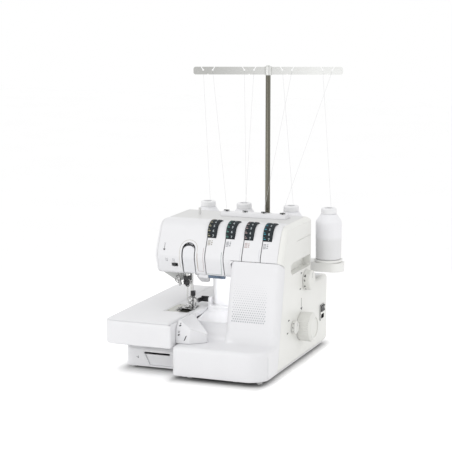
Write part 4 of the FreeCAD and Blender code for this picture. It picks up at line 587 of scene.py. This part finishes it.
# thread path lines: ink, width and runs from (x, z) to (x, z) in a number of steps
pathLines = {
    "path_rose": (inkRose, 0.7, (((-42, 246), (-42, 207), 14), ((-42, 207), (-29, 207), 3),
                                 ((-29, 207), (-29, 258), 16))),
    "path_green": (inkGreen, 0.7, (((-23, 202), (11, 202), 5), ((11, 202), (13, 252), 16))),
    "path_grey": (inkPale, 0.4, (((55, 239), (54, 262), 8),)),
    "path_grey_b": (inkPale, 0.4, (((97, 239), (96, 262), 8),))}
for name, (mat, width, runs) in pathLines.items():
    trail("head_front_cover", "machine", name, mat, [spot for run in runs for spot in steps(*run)], width)

# numbers on the rims of the two side dials, as (number, lean)
sideDials = {
    "stitch_length_dial": {"body": "length_dial", "y": 58, "z": 176, "radius": 22, "size": 9.0,
                           "numbers": (("4", 30), ("3", 2), ("2", -26), ("1", -54))},
    "differential_dial": {"body": "feed_dial", "y": -24, "z": 88, "radius": 14, "size": 8.0,
                          "numbers": (("2", 50), ("1", 6), ("0", -38))}}
rimScale = {"x": 156.4, "far": 60.0, "bold": 0.25}
for name, dial in sideDials.items():
    for k, (mark, lean) in enumerate(dial["numbers"]):
        across = -math.cos(math.radians(lean))
        rise = math.sin(math.radians(lean))
        start = (rimScale["x"], dial["y"] + rimScale["far"] * across, dial["z"] + rimScale["far"] * rise)
        decal(name, dial["body"], "%s_number_%d" % (name, k), darkInkAndShade,
              [numeral(mark, dial["size"], rimScale["bold"])], start, (0, -across, -rise), (1, 0, 0),
              (0, rise, -across))

# marks beside the dials, the wheel's pointer and a line on each dial's face
coverMark = [disc(0, 0, 2.2), bar(2.0, -0.8, 7.0, 0.8)]
pointer = [[(-7, 3), (0, -3), (7, 3)], line(0, 4, 0, 24, 1.6)]
coverMarks = {"length_mark_a": (26, 196, coverMark), "length_mark_b": (20, 162, coverMark),
              "feed_mark_a": (-54, 108, coverMark), "feed_mark_b": (-62, 82, coverMark),
              "wheel_pointer": (30, 117, pointer)}
for name, (y, z, form) in coverMarks.items():
    sideDecal("right_cover", "machine", name, darkInkAndShade, form, y, z)
dialLine = {"half": 0.6, "length": 0.55, "above": 0.2}
for name, dial in sideDials.items():
    stroke = bar(-dialLine["half"], 0, dialLine["half"], dial["radius"] * dialLine["length"])
    sideDecal(name, dial["body"], name + "_mark", inkGrey, [stroke], dial["y"],
              dial["z"] + dial["radius"] * dialLine["above"])

# signs on the apron and the riser: node, body, x, z and form
lowSigns = {
    "apron_signs": ("front_apron", "looper_cover", -45, 108,
                    [disc(0, 5.5, 1.3), disc(0.8, 0.4, 2.0), disc(-0.8, -0.8, 1.4)]),
    "apron_signs_b": ("front_apron", "looper_cover", -45, 93,
                      [line(-2.4, 4, 2.2, 4, 1.1), line(-2.4, 1, 1.4, 1, 1.1), disc(-1.0, -4, 1.8),
                       disc(0.6, -3.0, 1.3)]),
    "apron_arrow": ("front_apron", "looper_cover", -31, 83,
                    [[(-3.4, -6), (1.0, 5.0), (4.0, 6.2), (-0.6, -4.4)]]),
    "riser_sign": ("base_pan", "machine", -155, 24,
                   [line(-3, 1.5, -1, -0.5, 0.6), line(-1, -0.5, 1, 2.5, 0.6), disc(1.2, -1.2, 1.1),
                    line(0, 3, 2.5, 0.5, 0.6)])}
for name, (node, body, x, z, form) in lowSigns.items():
    frontDecal(node, body, name, darkInkAndShade, form, x, z)

# dark crescent at the top of the take-up lever: painted shade of the slot's dark opening
gapTop = {"x": -63.0, "z": 254.0, "half": 10.5, "outer": 11.0, "inner": 6.5, "parts": 14}
leans = [math.pi * k / gapTop["parts"] for k in range(gapTop["parts"] + 1)]
outer, inner = ([(gapTop["half"] * math.cos(lean), rise * math.sin(lean)) for lean in leans]
                for rise in (gapTop["outer"], gapTop["inner"]))
crescent = [[outer[k], outer[k + 1], inner[k + 1], inner[k]] for k in range(gapTop["parts"])]
frontDecal("take_up_lever", "take_up", "lever_shade", darkInkAndShade, crescent, gapTop["x"], gapTop["z"])
print("marks printed")


# screws; rings are (share of radius, share of height)
screwLook = {"height": 0.8, "sides": 20, "rings": ((1.0, 0.0), (1.0, 0.55), (0.82, 1.0)), "slot": 0.5,
             "slotLength": 0.7, "slotLift": 0.03}


def screw(name, node, start, aim, radius):
    place, normal = onNode(node, start, aim)
    if place is None:
        print("no seat for", name)
        return
    turn = normal.to_track_quat("Z", "Y").to_matrix()
    sides = screwLook["sides"]
    rings = screwLook["rings"]
    verts = []
    for scale, height in rings:
        for k in range(sides):
            a = 2 * math.pi * k / sides
            local = Vector((radius * scale * math.cos(a), radius * scale * math.sin(a),
                            screwLook["height"] * height))
            verts.append(place + turn @ (local * mm))
    faces = tubeFaces(len(rings), sides)
    faces.append(tuple(range((len(rings) - 1) * sides, len(rings) * sides)))
    addMesh(name, verts, faces, steel, "machine")
    # the slot is a dark flat sheet on the head: painted shade of a groove
    long = radius * screwLook["slotLength"]
    wide = screwLook["slot"] / 2
    top = screwLook["height"] + screwLook["slotLift"]
    slotVerts = [place + turn @ (Vector((a, b, top)) * mm) for a, b in bar(-long, -wide, long, wide)]
    addMesh(name + "_slot", slotVerts, [(0, 1, 2, 3)], darkInkAndShade, "machine")


# node, start and heading of the ray, radius
screws = {
    "plate_screw_a": ("needle_plate", (-109, -90, 200), (0, 0, -1), 2.6),
    "plate_screw_b": ("needle_plate", (-109, -27, 160), (0, 0, -1), 2.6),
    "rear_screw_0": ("rear_cover", (-30, 300, 20), (0, -1, 0), 3.2),
    "rear_screw_1": ("rear_cover", (128, 300, 20), (0, -1, 0), 3.2),
    "rear_screw_2": ("rear_cover", (-30, 300, 148), (0, -1, 0), 3.2),
    "rear_screw_3": ("rear_cover", (128, 300, 148), (0, -1, 0), 3.2),
    "top_screw_a": ("top_cover", (-100, 200, 215), (0, -1, 0), 3.0),
    "top_screw_b": ("top_cover", (120, 200, 215), (0, -1, 0), 3.0),
    "face_screw": ("face_cover", (-300, 40, 250), (1, 0, 0), 3.0)}
for name, place in screws.items():
    screw(name, *place)
print("screws set")


# small pieces round the needles
needleArea = {"clip": ((-77.5, -43.0, 142.0), (-68.5, -33.5, 153.0)), "cut": 1.6, "sides": 8,
              "hook": ((-94, -68, 192), (-101, -69, 187), (-100, -70, 179), (-92, -70, 175), (-88, -70, 180)),
              "hookRadius": 1.1,
              "guide": ((-70, -69, 184), (-65, -72, 180), (-67, -73, 173), (-73, -72, 170)),
              "guideRadius": 0.7}


def smoothRun(points, count=6):
    # smooth run of spots through the given points
    spots = []
    ends = [points[0]] + list(points) + [points[-1]]
    for i in range(1, len(ends) - 2):
        a, b, c, d = (Vector(p) for p in ends[i - 1:i + 3])
        for k in range(count):
            t = k / count
            spots.append(0.5 * (2 * b + (c - a) * t + (2 * a - 5 * b + 4 * c - d) * t ** 2
                                + (3 * b - a - 3 * c + d) * t ** 3))
    return spots + [Vector(points[-1])]


def wire(name, body, points, mat, radius):
    verts, faces = strand([p * mm for p in smoothRun(points)], radius * mm, needleArea["sides"])
    addMesh(name, verts, faces, mat, body)


def block(name, body, low, high, cut, mat):
    # box with cut-off upright corners
    (x0, y0, z0), (x1, y1, z1) = low, high
    ring = [(x0 + cut, y0), (x1 - cut, y0), (x1, y0 + cut), (x1, y1 - cut),
            (x1 - cut, y1), (x0 + cut, y1), (x0, y1 - cut), (x0, y0 + cut)]
    count = len(ring)
    verts = [Vector((x, y, z)) * mm for z in (z0, z1) for x, y in ring]
    faces = [tuple(reversed(range(count))), tuple(range(count, 2 * count))]
    addMesh(name, verts, faces + tubeFaces(2, count), mat, body)


block("bar_clip", "presser_unit", *needleArea["clip"], needleArea["cut"], blackMetal)
wire("threader_hook", "threader", needleArea["hook"], speckledReflectSteel, needleArea["hookRadius"])
wire("clamp_guide", "needle_unit", needleArea["guide"], steel, needleArea["guideRadius"])
print("needle area dressed")


# lights

studio = {"sun": 0.36, "sunAim": (0.30, 0.80, -0.52), "sunSoft": 70.0, "world": 0.95, "backdrop": 1.0}
areaLights = {
    "fillLight": {"place": (-1.4, -2.4, 1.5), "aim": (0, 0, 0.2), "size": (1.2, 1.2), "power": 0.8},
    "sideLight": {"place": (2.6, 0.2, 0.9), "aim": (0.1, 0.05, 0.25), "size": (1.4, 1.4), "power": 2.6},
    "sewingLight": {"place": (-0.004, -0.0705, 0.1900), "aim": (-0.01, -0.02, 0.08), "size": (0.03, 0.008),
                    "power": 0.028},
    "lowLight": {"place": (-0.5, -2.2, 0.12), "aim": (-0.05, 0, 0.2), "size": (1.6, 0.2), "power": 2.6}}


def addLight(lamp, heading):
    obj = bpy.data.objects.new(lamp.name, lamp)
    scene.collection.objects.link(obj)
    obj.rotation_euler = heading.to_track_quat("-Z", "Y").to_euler()
    return obj


sun = bpy.data.lights.new("softSun", "SUN")
sun.energy = studio["sun"]
sun.angle = math.radians(studio["sunSoft"])
addLight(sun, Vector(studio["sunAim"]))
for name, area in areaLights.items():
    lamp = bpy.data.lights.new(name, "AREA")
    lamp.shape = "RECTANGLE"
    lamp.size, lamp.size_y = area["size"]
    lamp.energy = area["power"]
    addLight(lamp, Vector(area["aim"]) - Vector(area["place"])).location = area["place"]


def mathNode(tree, kind, a, b=0.0):
    node = tree.nodes.new("ShaderNodeMath")
    node.operation = kind
    for socket, value in zip(node.inputs, (a, b)):
        if isinstance(value, (int, float)):
            socket.default_value = value
        else:
            tree.links.new(value, socket)
    return node.outputs["Value"]


def seenDirectly(tree):
    # 1 for camera, glossy and transmission rays
    rays = tree.nodes.new("ShaderNodeLightPath")
    mirror = mathNode(tree, "MAXIMUM", rays.outputs["Is Glossy Ray"], rays.outputs["Is Transmission Ray"])
    return mathNode(tree, "MAXIMUM", rays.outputs["Is Camera Ray"], mirror)


world = bpy.data.worlds.new("studioWorld")
scene.world = world
world.use_nodes = True
tree = world.node_tree
around = tree.nodes["Background"]
around.inputs["Color"].default_value = (1, 1, 1, 1)
around.inputs["Strength"].default_value = studio["world"]
backdrop = tree.nodes.new("ShaderNodeBackground")
backdrop.inputs["Color"].default_value = (1, 1, 1, 1)
backdrop.inputs["Strength"].default_value = studio["backdrop"]
mixed = tree.nodes.new("ShaderNodeMixShader")
tree.links.new(seenDirectly(tree), mixed.inputs["Fac"])
tree.links.new(around.outputs["Background"], mixed.inputs[1])
tree.links.new(backdrop.outputs["Background"], mixed.inputs[2])
tree.links.new(mixed.outputs["Shader"], tree.nodes["World Output"].inputs["Surface"])


# floor, darker under the machine as a painted shadow and glowing round it as painted light; zones are in metres
floorLook = {"half": 6, "low": (0.955, 0.955, 0.955, 1), "high": (0.965, 0.965, 0.965, 1), "patch": 3.0,
             "patchDetail": 2.0, "rough": 0.9, "gloss": 0.1, "under": 0.45,
             "glow": 0.33, "farGlow": 0.03, "farFrom": 0.5, "farTo": 1.2,
             "zones": ({"middle": (0.049, 0.0), "half": (0.090, 0.19), "fade": (0.028, 0.066)},
                       {"middle": (-0.114, 0.028), "half": (0.056, 0.163), "fade": (0.034, 0.06)})}


def zoneClear(tree, apart, zone):
    # 0 inside a zone, rising to 1 past its fade
    gaps = []
    for i, axis in enumerate("XY"):
        offset = mathNode(tree, "SUBTRACT", apart.outputs[axis], zone["middle"][i])
        beyond = mathNode(tree, "SUBTRACT", mathNode(tree, "ABSOLUTE", offset), zone["half"][i])
        gap = mathNode(tree, "MAXIMUM", mathNode(tree, "DIVIDE", beyond, zone["fade"][i]))
        gaps.append(mathNode(tree, "POWER", gap, 2.0))
    away = mathNode(tree, "SQRT", mathNode(tree, "ADD", *gaps))
    return mathNode(tree, "MINIMUM", away, 1.0)


def paleFloor():
    # pale floor, darker under the machine as a painted shadow, that glows a little round the machine for camera,
    # glossy and transmission rays: painted light over the machine's shadow
    mat, tree, shader = newMaterial("paleFloor")
    tone = addNoise(tree, floorLook["patch"], floorLook["patchDetail"])
    ramp = addRamp(tree, tone.outputs["Fac"], floorLook["low"], floorLook["high"])
    coords = tree.nodes.new("ShaderNodeTexCoord")
    apart = tree.nodes.new("ShaderNodeSeparateXYZ")
    tree.links.new(coords.outputs["Object"], apart.inputs["Vector"])
    held = mathNode(tree, "MINIMUM", *(zoneClear(tree, apart, zone) for zone in floorLook["zones"]))
    tint = tree.nodes.new("ShaderNodeMix")
    tint.data_type = "RGBA"
    # painted shadow: the floor's colour darkens under the machine
    tint.inputs[colourMix["a"]].default_value = (floorLook["under"],) * 3 + (1.0,)
    tree.links.new(held, tint.inputs["Factor"])
    tree.links.new(ramp.outputs["Color"], tint.inputs[colourMix["b"]])
    tree.links.new(tint.outputs[colourMix["result"]], shader.inputs["Base Color"])
    reach = tree.nodes.new("ShaderNodeVectorMath")
    reach.operation = "LENGTH"
    tree.links.new(coords.outputs["Object"], reach.inputs[0])
    level = tree.nodes.new("ShaderNodeMapRange")
    for socket, value in (("From Min", "farFrom"), ("From Max", "farTo"), ("To Min", "glow"), ("To Max", "farGlow")):
        level.inputs[socket].default_value = floorLook[value]
    tree.links.new(reach.outputs["Value"], level.inputs["Value"])
    glow = mathNode(tree, "MULTIPLY", held, level.outputs["Result"])
    tree.links.new(mathNode(tree, "MULTIPLY", glow, seenDirectly(tree)), shader.inputs["Emission Strength"])
    shader.inputs["Emission Color"].default_value = (1, 1, 1, 1)
    shader.inputs["Roughness"].default_value = floorLook["rough"]
    shader.inputs["Specular IOR Level"].default_value = floorLook["gloss"]
    return mat


half = floorLook["half"]
floorMesh = bpy.data.meshes.new("floor")
floorMesh.from_pydata([(a, b, 0) for a, b in bar(-half, -half, half, half)], [], [(0, 1, 2, 3)])
floor = bpy.data.objects.new("floor", floorMesh)
scene.collection.objects.link(floor)
floorMesh.materials.append(paleFloor())

view = {"place": (1.2497, -3.2176, 0.8837), "azimuth": 21.4, "elevation": 9.7, "lens": 129.1, "sensor": 36.0,
        "far": 50.0}
cameraData = bpy.data.cameras.new("camera")
cameraData.lens = view["lens"]
cameraData.sensor_width = view["sensor"]
cameraData.clip_end = view["far"]
camera = bpy.data.objects.new("camera", cameraData)
scene.collection.objects.link(camera)
camera.location = view["place"]
camera.rotation_euler = (math.radians(90 - view["elevation"]), 0, math.radians(view["azimuth"]))
scene.camera = camera
scene.view_settings.view_transform = "Standard"
print("stage set")
